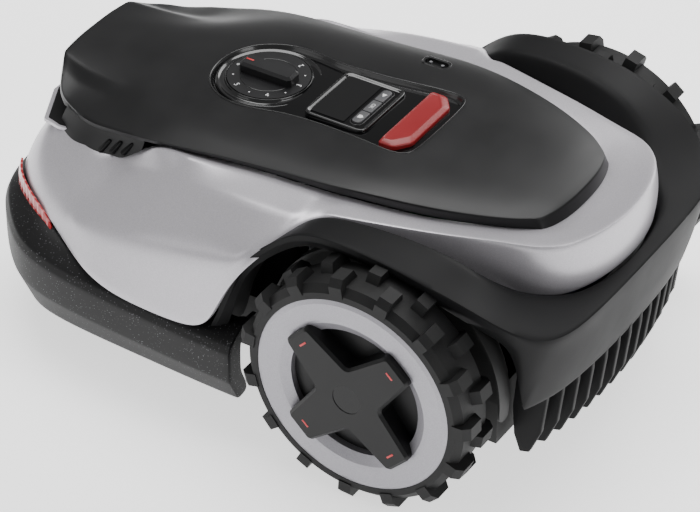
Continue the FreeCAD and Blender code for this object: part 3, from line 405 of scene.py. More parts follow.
def reflex_strip(name):
    """Red polycarbonate reflector: slanted rows of prisms 7.9 mm apart, with a painted highlight: pale pink where a
    row turns to the light.
    """
    finish, tree, shader, place = new_finish(name)
    slant = add(tree, "Mapping", {"Vector": place, "Rotation": PRISM_SLANT})
    rows = add(tree, "TexWave", {"Vector": slant.outputs["Vector"], "Scale": PRISM_SCALE, "Distortion": 0.0},
               wave_type="BANDS", bands_direction="Y")
    # Painted highlight: the pale band on each prism row, mixed into the base colour.
    painted_glint_band = add(tree, "MapRange", {"Value": rows.outputs["Fac"], "From Min": 0.62, "From Max": 0.9})
    tone = add(tree, "MixRGB", {"Fac": painted_glint_band.outputs["Result"], "Color1": linear("#b0181c"),
                                "Color2": linear("#dc7474")})
    bump = add(tree, "Bump", {"Height": rows.outputs["Fac"], "Strength": 0.5, "Distance": 0.6 * MM})
    plug(tree, shader, base_color=tone.outputs["Color"], normal=bump.outputs["Normal"])
    shader.inputs["Roughness"].default_value = 0.18
    shader.inputs["Coat Weight"].default_value = 0.6
    return finish


# Unpainted PC/ABS, spark-eroded grain of 0.7 mm: dark satin with a broad soft highlight.
HOOD_ABS = moulded("hood_abs", "#101011", "#141415", 0.36, 0.7, 0.05, 0.32)
# Glass-filled polypropylene of the guard and fenders: a shade darker, a wider highlight.
GUARD_PP = moulded("guard_polypropylene", "#101011", "#141415", 0.52, 0.9, 0.07, 0.14)
# The same polypropylene inside, painted near black as shade: a darker copy of the moulding for where shade falls.
INNER_PP_PAINTED_SHADE = moulded("inner_polypropylene_painted_shade", "#0c0c0c", "#121212", 0.55, 1.2, 0.1)
# Carbon-filled natural rubber with a dull bloom.
TYRE_RUBBER = moulded("tyre_rubber", "#0f0f10", "#141414", 0.6, 1.4, 0.18, 0.3)
# Louvre panel: the same moulding in half shade, and painted shadow, near black, for the pits behind its slots.
LOUVRE_PP = moulded("louvre_polypropylene", "#161617", "#1c1c1d", 0.42, 0.8, 0.05)
# Painted shadow: near black for the slot pits, where there is only shade.
SLOT_SHADOW_PAINT = moulded("slot_shadow_black", "#040404", "#070707", 0.7, 1.0, 0.02)
# Soft neoprene stop.
BUFFER_RUBBER = moulded("buffer_neoprene", "#101010", "#161616", 0.7, 1.0, 0.1)
# Hub cap and rim in nylon, darker and a little glossier than the hood.
HUB_NYLON = moulded("hub_nylon", "#09090a", "#0d0d0e", 0.4, 0.6, 0.05, 0.25)
# Dial and knob in fine-grained ABS.
DIAL_ABS = moulded("dial_abs", "#131314", "#18181a", 0.33, 0.45, 0.03)
# Silicone keypad, mid grey.
KEY_SILICONE = moulded("key_silicone", "#48484a", "#525254", 0.5, 0.6, 0.04)
# Silver basecoat with a satin clear.
SILVER_PAINT = flake_paint("silver_basecoat", "#c9c6cb", "#b3b0b6", 0.33)
RING_SILVER = flake_paint("wheel_ring_silver", "#a3a1a7", "#8f8d93", 0.38)
BUMPER_RUBBER = speckled("bumper_speckled_rubber", "#0f0f10", "#131314", "#6c6c70", 0.5)
PIANO_BLACK = gloss("piano_black_abs", "#030304", "#060607", 0.08)
RING_GLOSS = gloss("polished_ring_abs", "#0a0a0b", "#101011", 0.1, 0.5, 0.5)
BEZEL_BLACK = gloss("satin_black_bezel", "#121213", "#171718", 0.22, 0.3, 0.5)
SCREEN_GLASS = gloss("screen_glass", "#050506", "#0a0a0b", 0.03, 0.3, 0.3)
LENS_GLASS = gloss("lens_glass", "#04060c", "#0a1020", 0.03, 1.0)
# Pigmented red ABS with a satin grain of half a millimetre.
STOP_RED = moulded("stop_red_abs", "#860d13", "#8e1218", 0.34, 0.5, 0.03)
REFLEX_RED = reflex_strip("reflex_red_polycarbonate")
# Pad-printed white ink, slightly chalky, and red ink.
PRINT_WHITE = moulded("pad_print_white", "#d9d9da", "#e6e6e6", 0.55, 0.4, 0.01)
PRINT_RED = moulded("pad_print_red", "#c22a2c", "#cc3436", 0.45, 0.4, 0.01)
# Stamped and ground spring steel of the knives, turned bright steel of rods and axles.
STEEL = machined("bright_steel", "#c9c9cc", "#9d9da0", 0.3)
MOTOR_STEEL = machined("motor_can_steel", "#8b8b8e", "#6c6c70", 0.42, 1.2)
BRASS = machined("contact_brass", "#caa25e", "#a47f42", 0.3)
CELL_WRAP = moulded("cell_wrap_pvc", "#24324c", "#2c3d5c", 0.35, 0.8, 0.04)
BOARD_GREEN = moulded("solder_mask_green", "#175a2b", "#1f6c35", 0.3, 1.6, 0.05)

# moulded_black pieces take the inner moulding, a darker copy with painted shade.
FINISH_OF = {
    "moulded_black": INNER_PP_PAINTED_SHADE, "hood_charcoal": HOOD_ABS, "silver_paint": SILVER_PAINT,
    "bumper_speckle": BUMPER_RUBBER, "gloss_black": PIANO_BLACK, "stop_red": STOP_RED,
    "reflector_red": REFLEX_RED, "tyre_rubber": TYRE_RUBBER, "buffer_rubber": BUFFER_RUBBER,
    "key_grey": KEY_SILICONE, "dial_grey": DIAL_ABS, "display_glass": SCREEN_GLASS, "lens_glass": LENS_GLASS,
    "steel": STEEL, "motor_steel": MOTOR_STEEL, "contact_brass": BRASS, "cell_wrap": CELL_WRAP,
    "board_green": BOARD_GREEN,
}
SPECIAL_FINISH = {
    "wheel_rim_left": HUB_NYLON, "wheel_rim_right": HUB_NYLON, "hub_cap_left": HUB_NYLON,
    "hub_cap_right": HUB_NYLON, "wheel_ring_left": RING_SILVER, "wheel_ring_right": RING_SILVER,
    "hub_badge_left": PIANO_BLACK, "hub_badge_right": PIANO_BLACK, "visor": GUARD_PP, "rain_sensor_cup": BEZEL_BLACK,
}
SLOT_OF = {row["node"]: row["material_slot"] for row in frame["record"]["subparts"]}


def dress_in(obj, finish):
    obj.data.materials.clear()
    obj.data.materials.append(finish)
    return obj


def finished(obj, body, finish, degrees=35):
    """Shades, colours and mounts one new piece on its body."""
    smooth(obj, degrees)
    dress_in(obj, finish)
    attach(obj, body)
    return obj


for node_name, node in NODES.items():
    finish = SPECIAL_FINISH.get(node_name) or FINISH_OF[SLOT_OF[node_name]]
    for number in range(max(1, len(node.material_slots))):
        if node.material_slots:
            node.material_slots[number].material = finish
        else:
            node.data.materials.append(finish)


# ---- Camera, floor and lights ----------------------------------------------------------------------

CAMERA_PLACE = (1.9952, 1.2642, 1.8139)
CAMERA_DOWN, CAMERA_ROUND = 36.57, 122.29  # degrees below level, and about Z
LENS_MM, SENSOR_MM, CAMERA_REACH = 169.7, 36.0, 50
FLOOR_SIZE, FLOOR_GLOW, ROOM_GLOW = 24, 1.25, 0.36
AIM = Vector((0, 0, 0.12))  # where every light points
LIGHTS = (  # name, place, width and depth in metres, watts
    ("overhead_box", (-0.5, -0.3, 2.5), (2.2, 1.4), 58),
    ("rear_box", (0.6, 2.6, 1.7), (1.4, 1.0), 17),
    ("far_box", (-2.6, 0.4, 1.7), (1.8, 1.6), 40),
    ("side_box", (2.3, -1.6, 1.5), (1.6, 1.2), 6),
)


def make_studio():
    bpy.ops.object.camera_add(location=CAMERA_PLACE,
                              rotation=(math.radians(90 - CAMERA_DOWN), 0, math.radians(CAMERA_ROUND)))
    camera = bpy.context.object
    camera.data.sensor_width, camera.data.lens = SENSOR_MM, LENS_MM
    camera.data.clip_end = CAMERA_REACH
    bpy.context.scene.camera = camera

    bpy.ops.mesh.primitive_plane_add(size=FLOOR_SIZE, location=(0, 0, 0))
    floor = named("studio_floor")
    paper, tree, shader, place = new_finish("white_paper_sweep")
    tooth = add(tree, "TexNoise", {"Vector": place, "Scale": TOOTH_PER_METRE, "Detail": 2.0})
    tone = add(tree, "MixRGB", {"Fac": tooth.outputs["Fac"], "Color1": linear("#f6f6f6"),
                                "Color2": linear("#fbfbfb")})
    plug(tree, shader, base_color=tone.outputs["Color"])
    shader.inputs["Roughness"].default_value = 0.9
    shader.inputs["Emission Color"].default_value = (1, 1, 1, 1)
    shader.inputs["Emission Strength"].default_value = FLOOR_GLOW
    dress_in(floor, paper)

    world = bpy.data.worlds.new("soft_white_room")
    bpy.context.scene.world = world
    world.use_nodes = True
    world.node_tree.nodes["Background"].inputs["Color"].default_value = (1, 1, 1, 1)
    world.node_tree.nodes["Background"].inputs["Strength"].default_value = ROOM_GLOW

    for name, place, size, power in LIGHTS:
        bpy.ops.object.light_add(type="AREA", location=place)
        lamp = bpy.context.object
        lamp.name = name
        lamp.data.shape = "RECTANGLE"
        lamp.data.size, lamp.data.size_y = size
        lamp.data.energy = power
        lamp.rotation_mode = "QUATERNION"
        lamp.rotation_quaternion = (Vector(place) - AIM).to_track_quat("Z", "Y")


# ---- Hood ------------------------------------------------------------------------------------------

def level(y, *points):
    """A row of a sheet whose points all stand at the same y."""
    return [(x, y, z) for x, z in points]


# Right-hand side of the control recess, from the front round to the rear, as (x, y).
RECESS = [(0, -131.5), (20, -128), (37, -117), (48, -99), (52, -80), (50.5, -58), (46.5, -36), (45.5, -14),
          (46.5, 15), (49.5, 48), (52, 72), (50.5, 85), (44, 92.5), (26, 95), (0, 95.5)]


def grown(loop, grow):
    """A closed plan outline moved outwards by `grow` millimetres."""
    moved = []
    for n, point in enumerate(loop):
        run = (Vector(loop[(n + 1) % len(loop)]) - Vector(loop[n - 1])).normalized()
        moved.append((point[0] + run.y * grow, point[1] - run.x * grow))
    return moved


def recess_outline(grow, steps=4):
    """The recess outline drawn as a smooth loop through its points."""
    loop = RECESS + [(-x, y) for x, y in reversed(RECESS[1:-1])]
    fine, total = [], len(loop)
    for n in range(total):
        a, b, c, d = (Vector(loop[(n + k) % total]) for k in (-1, 0, 1, 2))
        for step in range(steps):
            t = step / steps
            fine.append(0.5 * (2 * b + (c - a) * t + (2 * a - 5 * b + 4 * c - d) * t * t
                               + (3 * b - a - 3 * c + d) * t ** 3))
    return grown(fine, grow)


CROWN_FALL = 0.00035  # how fast the hood drops from the middle, per square millimetre
CUT_LOW, CUT_HIGH = 205, 250  # reach of a cutter through the hood


def hood_crown(x, y):
    """Height of the hood's skin near the controls, in millimetres."""
    along = [(-200, 219.5), (-133, 224), (-94, 226.5), (-50, 229), (0, 232), (50, 234.5), (90, 235.5), (125, 235.5)]
    for (y0, z0), (y1, z1) in zip(along, along[1:]):
        if y <= y1:
            t = max(0.0, (y - y0) / (y1 - y0))
            return z0 + (z1 - z0) * t - CROWN_FALL * x * x
    return along[-1][1] - CROWN_FALL * x * x


def make_hood():
    rows = [
        [(0, -262, 189), (24, -262, 189), (46, -261, 189), (64, -256, 188), (78, -248, 187), (84, -240, 187)],
        [(0, -272, 203), (24, -272, 203), (46, -269, 202), (64, -261, 198), (81, -250, 193), (89, -238, 188)],
        [(0, -268, 216), (24, -268, 216), (49, -266, 214.5), (66, -256, 206), (84, -246, 199.5), (91, -236, 191)],
        [(0, -242, 216.8), (28, -241, 216.2), (57.5, -238, 210.5), (70, -236, 201.5), (92, -233, 195.5),
         (92, -230, 190)],
        [(0, -214, 218), (32, -214, 217.2), (60, -213, 210.8), (74, -213, 202.5), (104, -212, 197.5),
         (103, -211, 192)],
        [(0, -192, 220), (36, -192, 219), (61, -191, 212.5), (78, -190, 205), (111, -190, 199), (110, -190, 194)],
        level(-166, (0, 222), (40, 221), (67, 216), (88, 210), (115.5, 204.5), (114.5, 200)),
        level(-133, (0, 224), (44, 223.4), (78, 220), (100, 215.5), (118.5, 209.5), (117.5, 205.5)),
        level(-94, (0, 226.5), (44, 226), (80, 223.4), (101, 219.4), (117, 213.6), (116, 209.8)),
        level(-50, (0, 229), (44, 228.6), (78, 226.6), (99, 222.9), (113.5, 217.6), (112.5, 213.5)),
        level(0, (0, 232), (42, 231.8), (76, 230.2), (97, 226.9), (112, 221.8), (111, 216.8)),
        level(50, (0, 234.5), (42, 234.2), (76, 233), (97, 230.4), (112.5, 226.2), (111.5, 219.4)),
        level(90, (0, 235.5), (40, 235.4), (72, 234.5), (93, 232.2), (107, 228.4), (106, 220)),
        level(125, (0, 235.5), (38, 235.3), (67, 234.3), (87, 231.4), (100.5, 227.6), (99.5, 218.8)),
        level(163, (0, 234.3), (34, 233.9), (60, 232.4), (78, 230), (90, 226.8), (89, 217.4)),
        level(199, (0, 231.4), (28, 231), (49, 229.4), (64, 227.4), (74, 225.2), (73, 215.6)),
        level(212, (0, 229.6), (22, 229.1), (41, 227.8), (55, 225.8), (65, 224), (64.5, 214)),
        [(0, 226, 227), (17, 226, 226.8), (33, 225, 226), (46, 222.5, 225), (58.5, 219.5, 223.6), (59, 220.5, 213.6)],
        [(0, 233, 223.8), (17, 232.6, 223.8), (33, 230.8, 223.6), (46, 227.6, 223.4), (55.5, 223, 223.2),
         (58, 225.6, 213.2)],
        [(0, 237, 212.5), (17, 236.6, 212.5), (33, 234.8, 212.5), (46, 231.6, 212.5), (54.5, 228.6, 212.5),
         (57.4, 227, 212.3)],
    ]
    hood = sheet_of("hood_skin", rows, [
        ("column", 4, 2, 18, 0.85), ("row", 18, 0, 4, 0.85), ("column", 2, 2, 5, 0.5), ("column", 3, 2, 5, 0.4),
        ("row", 2, 0, 4, 0.6), ("column", 5, 0, 19, 1.0), ("row", 19, 0, 5, 1.0)])
    both_sides(hood)
    face_to(hood, (0, 0, 1))
    subdivide(hood, 3)
    thicken(hood, 2.8, even=True)
    carve(hood, prism("recess_cutter", recess_outline(0.4), CUT_LOW, CUT_HIGH))
    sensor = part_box("rain_sensor_cup")
    centre = (sensor[0] + sensor[1]) / 2 / MM
    half_x, half_y = ((sensor[1] - sensor[0]) / 2 / MM)[:2]
    clear, corner = 0.6, half_x * 0.98
    oval = round_outline([(centre.x + sx * (half_x + clear), centre.y + sy * (half_y + clear), corner)
                          for sx, sy in ((-1, -1), (1, -1), (1, 1), (-1, 1))])
    carve(hood, prism("sensor_cutter", oval, CUT_LOW, CUT_HIGH))
    round_edges(hood, 0.6, 50)
    finished(hood, "chassis", HOOD_ABS, 40)
    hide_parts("hood")


def rolled_band(name, loop, levels, levelled=True):
    """A closed band round a plan outline. Each level is (grow, z); z counts down from the hood's skin if the
    band is not levelled."""
    rows = []
    for grow, z in levels:
        ring = [(x, y, z if levelled else hood_crown(x, y) - z) for x, y in grown(loop, grow)]
        rows.append(ring + ring[:1])
    band = sheet_of(name, rows, ring=True)
    return face_to(band, (0, 0, 1))


def make_control_recess():
    """The dish that the dial, the display and the stop button stand in: rolled rim, sloped wall, gloss floor."""
    rim = rolled_band("recess_rim", recess_outline(0), [(0.7, 3.0), (0.6, -0.2), (-0.1, -0.7), (-0.9, -0.3),
                                                        (-1.8, 1.4), (-3.2, 4.2), (-5.0, 5.2)], levelled=False)
    subdivide(rim, 1)
    finished(rim, "chassis", BEZEL_BLACK, 60)
    rows = []
    for y in [-127 + step * 8.0 for step in range(28)] + [93.0]:
        half = next(x0 + (x1 - x0) * (y - y0) / (y1 - y0) for (x0, y0), (x1, y1) in zip(RECESS, RECESS[1:])
                    if y0 <= y <= y1) - 2.5
        rows.append([(half * k / 6, y, hood_crown(half * k / 6, y) - 5) for k in range(-6, 7)])
    floor = sheet_of("recess_floor", rows)
    face_to(floor, (0, 0, 1))
    thicken(floor, 3)
    finished(floor, "chassis", PIANO_BLACK, 60)
    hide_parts("control_panel")


# ---- Silver body shell -------------------------------------------------------------------------------

def make_silver_shell():
    """One skin from the nose round the sides to the rear band: lower edge, waist crease, shoulder crease,
    strip beside the hood, and the edge hidden under the hood's skirt."""
    rows = [
        [(0, -286, 131), (0, -281, 145), (0, -273, 158), (0, -266, 166), (0, -256, 169)],
        [(60, -284, 131), (58, -279, 145), (54, -271, 158), (51, -264, 166), (49, -254, 169)],
        [(108, -273, 130), (102, -269, 146), (93, -262, 160), (86, -256, 168), (81, -248, 171)],
        [(129, -255, 129), (124, -251, 147), (113, -246, 163), (102, -240, 172), (95, -235, 174)],
        [(146, -234, 128), (140, -231, 146), (126, -227, 164), (108, -222, 174), (101, -218, 176)],
        [(163, -203, 123), (158, -201, 137), (141, -199, 160), (124, -200, 174), (117, -200, 177)],
        [(176, -180, 118), (169, -180, 140), (150, -178, 158), (127, -179, 176), (121, -177, 178)],
        [(187, -160, 114), (175, -160, 145), (121, -158, 172), (117, -157, 175), (114, -156, 178)],
        [(198, -139, 112), (181, -138, 152), (127, -136, 181), (117, -132, 197), (108, -130, 197)],
        [(204, -114, 108), (187, -114, 159), (134, -112, 189), (122.5, -112, 210.5), (108, -110, 205)],
        [(205, -88, 105), (190, -90, 165), (141, -88, 197), (125, -88, 212), (108, -88, 205)],
        [(205.5, -50, 104), (190.5, -52, 171), (145, -50, 205), (120.5, -50, 212.5), (105, -50, 207)],
        [(205, -24, 106), (191, -24, 176), (148, -22, 209), (118, -20, 214.5), (104, -20, 209)],
        [(203.5, -9, 116), (191.5, -3, 180.5), (150, 4, 211), (118, 6, 216), (104, 6, 210)],
        [(201, 0, 140), (191, 8, 184), (150.5, 20, 212), (118, 22, 217), (104, 22, 211)],
        [(194.5, 14, 168), (187, 24, 192), (150, 37, 213.5), (119, 38, 218), (104, 38, 212)],
        [(180, 36, 195), (172, 41, 202), (148, 50, 215), (118.5, 50, 218.3), (103.5, 50, 212.5)],
        [(150, 54, 202), (146, 57, 209), (139.5, 64, 218), (117, 64, 218.5), (102.5, 64, 213)],
        [(136.5, 78, 180), (137, 80, 200), (136, 82, 219), (115, 82, 218.8), (100, 82, 213)],
        [(122, 132, 172.5), (125.5, 132, 196), (123.5, 132, 220), (107, 132, 218.5), (92, 132, 212)],
        [(112, 172, 173), (115.5, 172, 197), (113, 172, 221.5), (96, 172, 218.6), (84, 172, 216)],
        [(99, 212, 174), (102.5, 212, 198), (99.5, 212, 223), (79, 210, 217), (66, 206, 213)],
        [(94, 240, 174.5), (97, 241.5, 198), (93.5, 238.5, 223.5), (65.5, 228, 216.8), (53, 225, 212.5)],
        [(81, 260, 175), (84, 262, 198), (80, 258.5, 223.8), (53, 242.5, 217), (41, 231, 212.5)],
        [(59, 272.5, 176), (61, 274.5, 198), (58, 271, 224), (37, 251, 217.2), (27, 234, 212.5)],
        [(31, 280, 177), (32, 282.5, 198), (31, 279, 224), (19, 257.5, 217.5), (14, 235.5, 212.5)],
        [(0, 282.5, 177), (0, 285, 198), (0, 281.5, 224), (0, 259, 217.5), (0, 236, 212.5)],
    ]
    shell = sheet_of("silver_shell", rows, [
        ("column", 1, 6, 15, 0.4), ("column", 2, 7, 16, 0.9), ("column", 2, 17, 26, 0.85),
        ("column", 3, 17, 26, 0.7), ("column", 3, 8, 16, 0.55), ("column", 0, 0, 26, 1.0), ("column", 4, 0, 26, 1.0)])
    both_sides(shell)
    face_to(shell, (0, 0, 1))
    subdivide(shell, 3)
    thicken(shell, 3, even=True)
    round_edges(shell, 0.8, 55)
    finished(shell, "chassis", SILVER_PAINT, 40)
    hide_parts("body_shell")


# ---- Bumper ------------------------------------------------------------------------------------------

def make_bumper():
    """Floating hoop: bevelled skirt, upright face, shoulder leaning in under the silver shell."""
    plan = [  # x and y of the shoulder crease, its height, the lower crease's height
        (207, 13, 96, 63), (206.5, -30, 96, 63), (204, -84, 97, 64), (201, -150, 99, 65), (196, -196, 102, 66),
        (185, -228, 105, 68), (159, -256, 108, 70), (132, -279, 110, 71), (100, -290, 111, 71), (52, -295, 111, 71),
        (0, -296, 111, 71)]
    inward = [(1, 0), (1, 0), (1, 0.02), (0.99, -0.08), (0.93, -0.35), (0.75, -0.66), (0.66, -0.75), (0.5, -0.86),
              (0.25, -0.97), (0.06, -1), (0, -1)]
    rows = []
    for (x, y, shoulder, crease), (nx, ny) in zip(plan, inward):
        def at(depth, z):
            return (x - nx * depth, y - ny * depth, z)
        rows.append([at(13, 37), at(0.5, crease - 1), at(0, crease + 6), at(0, shoulder - 5), at(3.5, shoulder + 3),
                     at(20, shoulder + 13), at(30, shoulder + 14)])
    rows.insert(0, [(x - 18, y, z) for x, y, z in rows[0]])
    bumper = sheet_of("bumper_hoop", rows, [
        ("column", 1, 1, 11, 0.75), ("column", 3, 1, 11, 0.5), ("column", 0, 0, 11, 1.0), ("column", 6, 0, 11, 1.0),
        ("column", 4, 1, 11, 0.5), ("row", 1, 0, 6, 0.8)])
    both_sides(bumper)
    face_to(bumper, (0, -1, 0))
    subdivide(bumper, 3)
    thicken(bumper, 4, even=True)
    round_edges(bumper, 1, 60)
    finished(bumper, "bumper", BUMPER_RUBBER, 40)
    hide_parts("front_bumper")


def make_reflectors():
    """Slim red strip let in between the bumper's shoulder and the silver skin."""
    run = [(106, -277, 122, 130.5), (118, -270.5, 119.5, 131), (130.5, -260, 118, 131), (143, -244, 117, 130.5),
           (154.5, -226, 116, 129), (162, -210, 116, 125), (167.5, -199, 116.5, 118.5)]
    rows = [[(x + 1.2, y - 1.2, low), (x + 0.7, y - 0.7, (low + high) / 2), (x - 0.6, y + 0.5, high)]
            for x, y, low, high in run]
    strip = sheet_of("reflector_left", rows)
    face_to(strip, (1, -1, 0))
    subdivide(strip, 2)
    thicken(strip, 2)
    twin = mirrored_copy(strip, "reflector_right")
    for obj in (strip, twin):
        finished(obj, "chassis", REFLEX_RED, 45)
    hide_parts("side_reflectors")


# ---- Fenders and rear guard ----------------------------------------------------------------------------

def make_guard():
    """Fender band over each wheel that runs on as a ledge and a bowed face round the rear."""
    rows = [  # channel foot, inner crease, outer crease, lip, arch edge; from x 150 on: face low edge
        [(160, -4, 100), (176, -10, 100), (194, -16, 99), (192, -10, 99), (187, -2, 99)],
        [(158, 0, 128), (176, -2, 127), (194.5, -5, 125), (192, 0, 126), (186.5, 6, 127)],
        [(154, 6, 152), (172, 6, 153), (192.5, 4, 152), (190, 8, 151), (184.5, 11, 149)],
        [(148, 18, 172), (164, 18, 177), (188.5, 13, 176), (186.5, 15, 173), (181, 18, 168)],
        [(142, 40, 186), (148, 46, 206), (182, 38, 203), (181.5, 39, 198), (177, 41, 191)],
        [(137, 66, 194), (145, 68, 223), (179, 64, 224), (179.5, 65, 218), (175, 67, 211)],
        [(133, 98, 198), (146.5, 98, 229.5), (180.5, 94, 230), (181, 95, 224), (176, 96, 216)],
        [(126, 138, 198), (144.5, 138, 231), (181.5, 132, 229.5), (182, 132, 224), (176.5, 132, 215.5)],
        [(117, 168, 196), (142, 168, 228.5), (182, 166, 225.5), (182, 166, 219), (176.5, 164, 210)],
        [(110, 194, 190), (138.5, 195, 221.5), (181, 191, 219.5), (180.5, 190, 212), (174.5, 187, 203)],
        [(104, 212, 183), (134, 212, 210.5), (178, 210, 213.5), (177, 209, 205), (171, 205, 194)],
        [(97, 228, 176), (127, 229, 199.5), (174, 235, 204), (172.5, 232, 195), (166.5, 228, 184)],
        [(86, 244, 172), (111, 247, 189), (168, 252, 194), (165, 248, 184), (159.5, 244, 174.5)],
        [(72, 257, 170), (92, 262, 182), (160, 267, 185.5), (157, 262, 172), (152.5, 256, 160)],
        [(62, 265, 169), (78, 270, 179), (149, 281, 179.5), (152, 268, 142), (149, 261, 122)],
        [(50, 271, 169), (63, 275.5, 177.5), (131, 290, 176.5), (145, 272, 130), (146, 264, 100)],
        [(34, 276, 169), (42, 280, 176.5), (103, 294.5, 175), (112, 287, 130), (114, 277.5, 100)],
        [(17, 279, 169), (21, 282.5, 176), (54, 295.8, 174), (58, 291, 130), (60, 283, 100)],
        [(0, 280, 169), (0, 283.5, 176), (0, 296, 174), (0, 292, 130), (0, 285, 100)],
    ]
    guard = sheet_of("guard_skin", rows, [
        ("column", 1, 0, 12, 0.5), ("column", 2, 0, 12, 0.72), ("column", 2, 12, 18, 0.6), ("column", 1, 12, 18, 0.5),
        ("column", 3, 0, 13, 0.45), ("column", 4, 0, 18, 1.0), ("column", 0, 0, 18, 1.0), ("row", 15, 3, 4, 0.6)])
    both_sides(guard)
    face_to(guard, (0, 0, 1))
    subdivide(guard, 3)
    thicken(guard, 4.2, even=True)
    round_edges(guard, 0.9, 55)
    finished(guard, "chassis", GUARD_PP, 40)
    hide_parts("rear_guard")


def make_comb():
    """Thirteen blades under the guard's face: each a bevelled plate with a raked foot, all cut from one pattern."""
    count, pitch, thick = 13, 19.5, 5.6
    for number in range(count):
        x = (number - count // 2) * pitch
        back = 286.5 - 0.00105 * x * x
        outline = [(back - 1.0, 112), (back - 1.5, 92), (back - 5.5, 58), (back - 16, 33), (back - 25, 30.5),
                   (back - 31, 47), (back - 33, 76), (back - 30, 112)]
        fin = extruded(f"comb_blade_{number + 1:02d}", [(x - thick / 2, y, z) for y, z in outline], (thick, 0, 0))
        round_edges(fin, 1.1, 30, 3)
        finished(fin, "chassis", GUARD_PP)


def make_arch_liner():
    """Inner wall of each wheel arch and the roof over the tyre's inner half."""
    low, high = 66.0, 112.5  # radii of the wall's inner edge and of the roof
    rows = []
    for step in range(17):
        angle = math.radians(176 - step * 11.6)
        along, up = math.cos(angle), math.sin(angle)
        rows.append([(x, AXLE_Y + radius * along, AXLE_Z + radius * up)
                     for x, radius in ((144, low), (144, high - 9), (146.5, high - 1.5), (154, high), (168, high))])
    liner = sheet_of("arch_liner_left", rows)
    face_to(liner, (1, 0, 0))
    subdivide(liner, 2)
    thicken(liner, 2, 1)
    twin = mirrored_copy(liner, "arch_liner_right")
    for obj in (liner, twin):
        # The liners take the inner moulding with painted shade, near black.
        finished(obj, "chassis", INNER_PP_PAINTED_SHADE, 50)


# ---- Vents beside the nose ------------------------------------------------------------------------------

def make_vents():
    """Dark curved panel under the wing, with three slanted louvre slots let into it: each a blade over a near-black
    bar of painted shadow.
    """
    rows = [
        [(104, -243, 156), (99, -240, 168), (92, -238, 180), (84, -236, 192)],
        [(118, -226, 158), (111, -223, 170), (101, -221, 182), (92, -220, 194)],
        [(127, -208, 160), (120, -205, 171), (109, -204, 183), (100, -203, 196)],
        [(131, -188, 162), (124, -186, 172), (113, -185, 184), (106, -185, 198)],
        [(128, -164, 164), (120, -162, 173), (112, -162, 185), (107, -162, 199)],
        [(122, -140, 176), (115, -139, 186), (110, -138, 195), (107, -136, 202)],
    ]
    panel = sheet_of("vent_panel_left", rows)
    face_to(panel, (1, 0, 1))
    subdivide(panel, 3)
    thicken(panel, 2)
    panels = [panel, mirrored_copy(panel, "vent_panel_right")]
    for number, (x, y) in enumerate(((114.5, -177), (114, -165.5), (113, -154))):
        # Each slot bar is a near-black piece of painted shadow; the blade sits above it.
        for part, width, height in (("slot", 5.4, 1.2), ("blade", 3.2, 3.4)):
            rib = bar(f"vent_{part}_{number + 1}_left", (14.5, width, height), (0, 0, 0),
                      min(width, height) * 0.45, 4)
            rib.rotation_euler = (0, math.radians(46), math.radians(-42))
            rib.location = Vector((x, y + (1.8 if part == "blade" else 0), 183.5 + 2 * number)) * MM
            settle(rib)
            panels += [rib, mirrored_copy(rib, rib.name.replace("left", "right"))]
    for obj in panels:
        finished(obj, "chassis", GUARD_PP if "blade" in obj.name else SLOT_SHADOW_PAINT if "slot" in obj.name else LOUVRE_PP,
                 50)
    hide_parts("side_vents")


# ---- Controls ---------------------------------------------------------------------------------------------

def flat_text(name, words, size, place, turn, body, finish, lift=0.12):
    """Pad-printed figure: text laid flat, thickened a tenth of a millimetre and made a mesh."""
    bpy.ops.object.text_add(location=[p * MM for p in place], rotation=(0, 0, turn))
    obj = bpy.context.object
    obj.name = name
    obj.data.body = words
    obj.data.size = size * MM
    obj.data.align_x, obj.data.align_y = "CENTER", "CENTER"
    obj.data.extrude = lift * MM / 2
    obj.data.resolution_u = 4
    bpy.ops.object.convert(target="MESH")
    settle(obj)
    return finished(obj, body, finish)


def dot(name, radius, place, body, finish, height=0.15):
    bpy.ops.mesh.primitive_cylinder_add(vertices=20, radius=radius * MM, depth=height * MM,
                                        location=[p * MM for p in place])
    obj = settle(named(name))
    round_edges(obj, height * 0.3, 30, 1)
    return finished(obj, body, finish)


def make_dial():
    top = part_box("height_dial")[1].z / MM
    y, face, ring = -80.0, 226.5, 31.5  # dial centre, printed face, circle of figures
    for number, angle in ((6, -90), (5, -30), (4, 30), (3, 90), (2, 150)):
        a = math.radians(angle)
        flat_text(f"dial_figure_{number}", str(number), 7.0,
                  (ring * math.cos(a), y + ring * math.sin(a), face + 0.1), a - math.radians(90) + math.pi,
                  "chassis", PRINT_WHITE)
    for number, angle in enumerate((-60, 0, 60, 120)):
        a = math.radians(angle)
        dot(f"dial_dot_{number + 1}", 0.8, (ring * math.cos(a), y + ring * math.sin(a), face + 0.1), "chassis",
            PRINT_WHITE)
    bpy.ops.mesh.primitive_torus_add(major_radius=25.5 * MM, minor_radius=0.35 * MM, major_segments=96,
                                     minor_segments=8, location=(0, y * MM, face * MM))
    groove = settle(named("dial_groove"))
    finished(groove, "dial", BEZEL_BLACK)
    mark = bar("dial_index", (1.8, 7.5, 0.3), (0, y - 19.5, top + 0.1), 0.1)
    finished(mark, "dial", PRINT_RED)
    circle = [(math.cos(2 * math.pi * k / 72), y + math.sin(2 * math.pi * k / 72)) for k in range(72)]
    moat = rolled_band("dial_moat", circle, [(r - 1, z) for r, z in (
        (47.4, 221.6), (46.4, 223.9), (45.4, 224.4), (44.4, 223.8), (42.0, 222.6), (39.4, 223.2), (38.6, 225.9),
        (38.1, 226.3), (37.7, 226.2), (37.5, 222.5))])
    subdivide(moat, 1)
    finished(moat, "chassis", RING_GLOSS, 60)
    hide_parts("dial_ring")


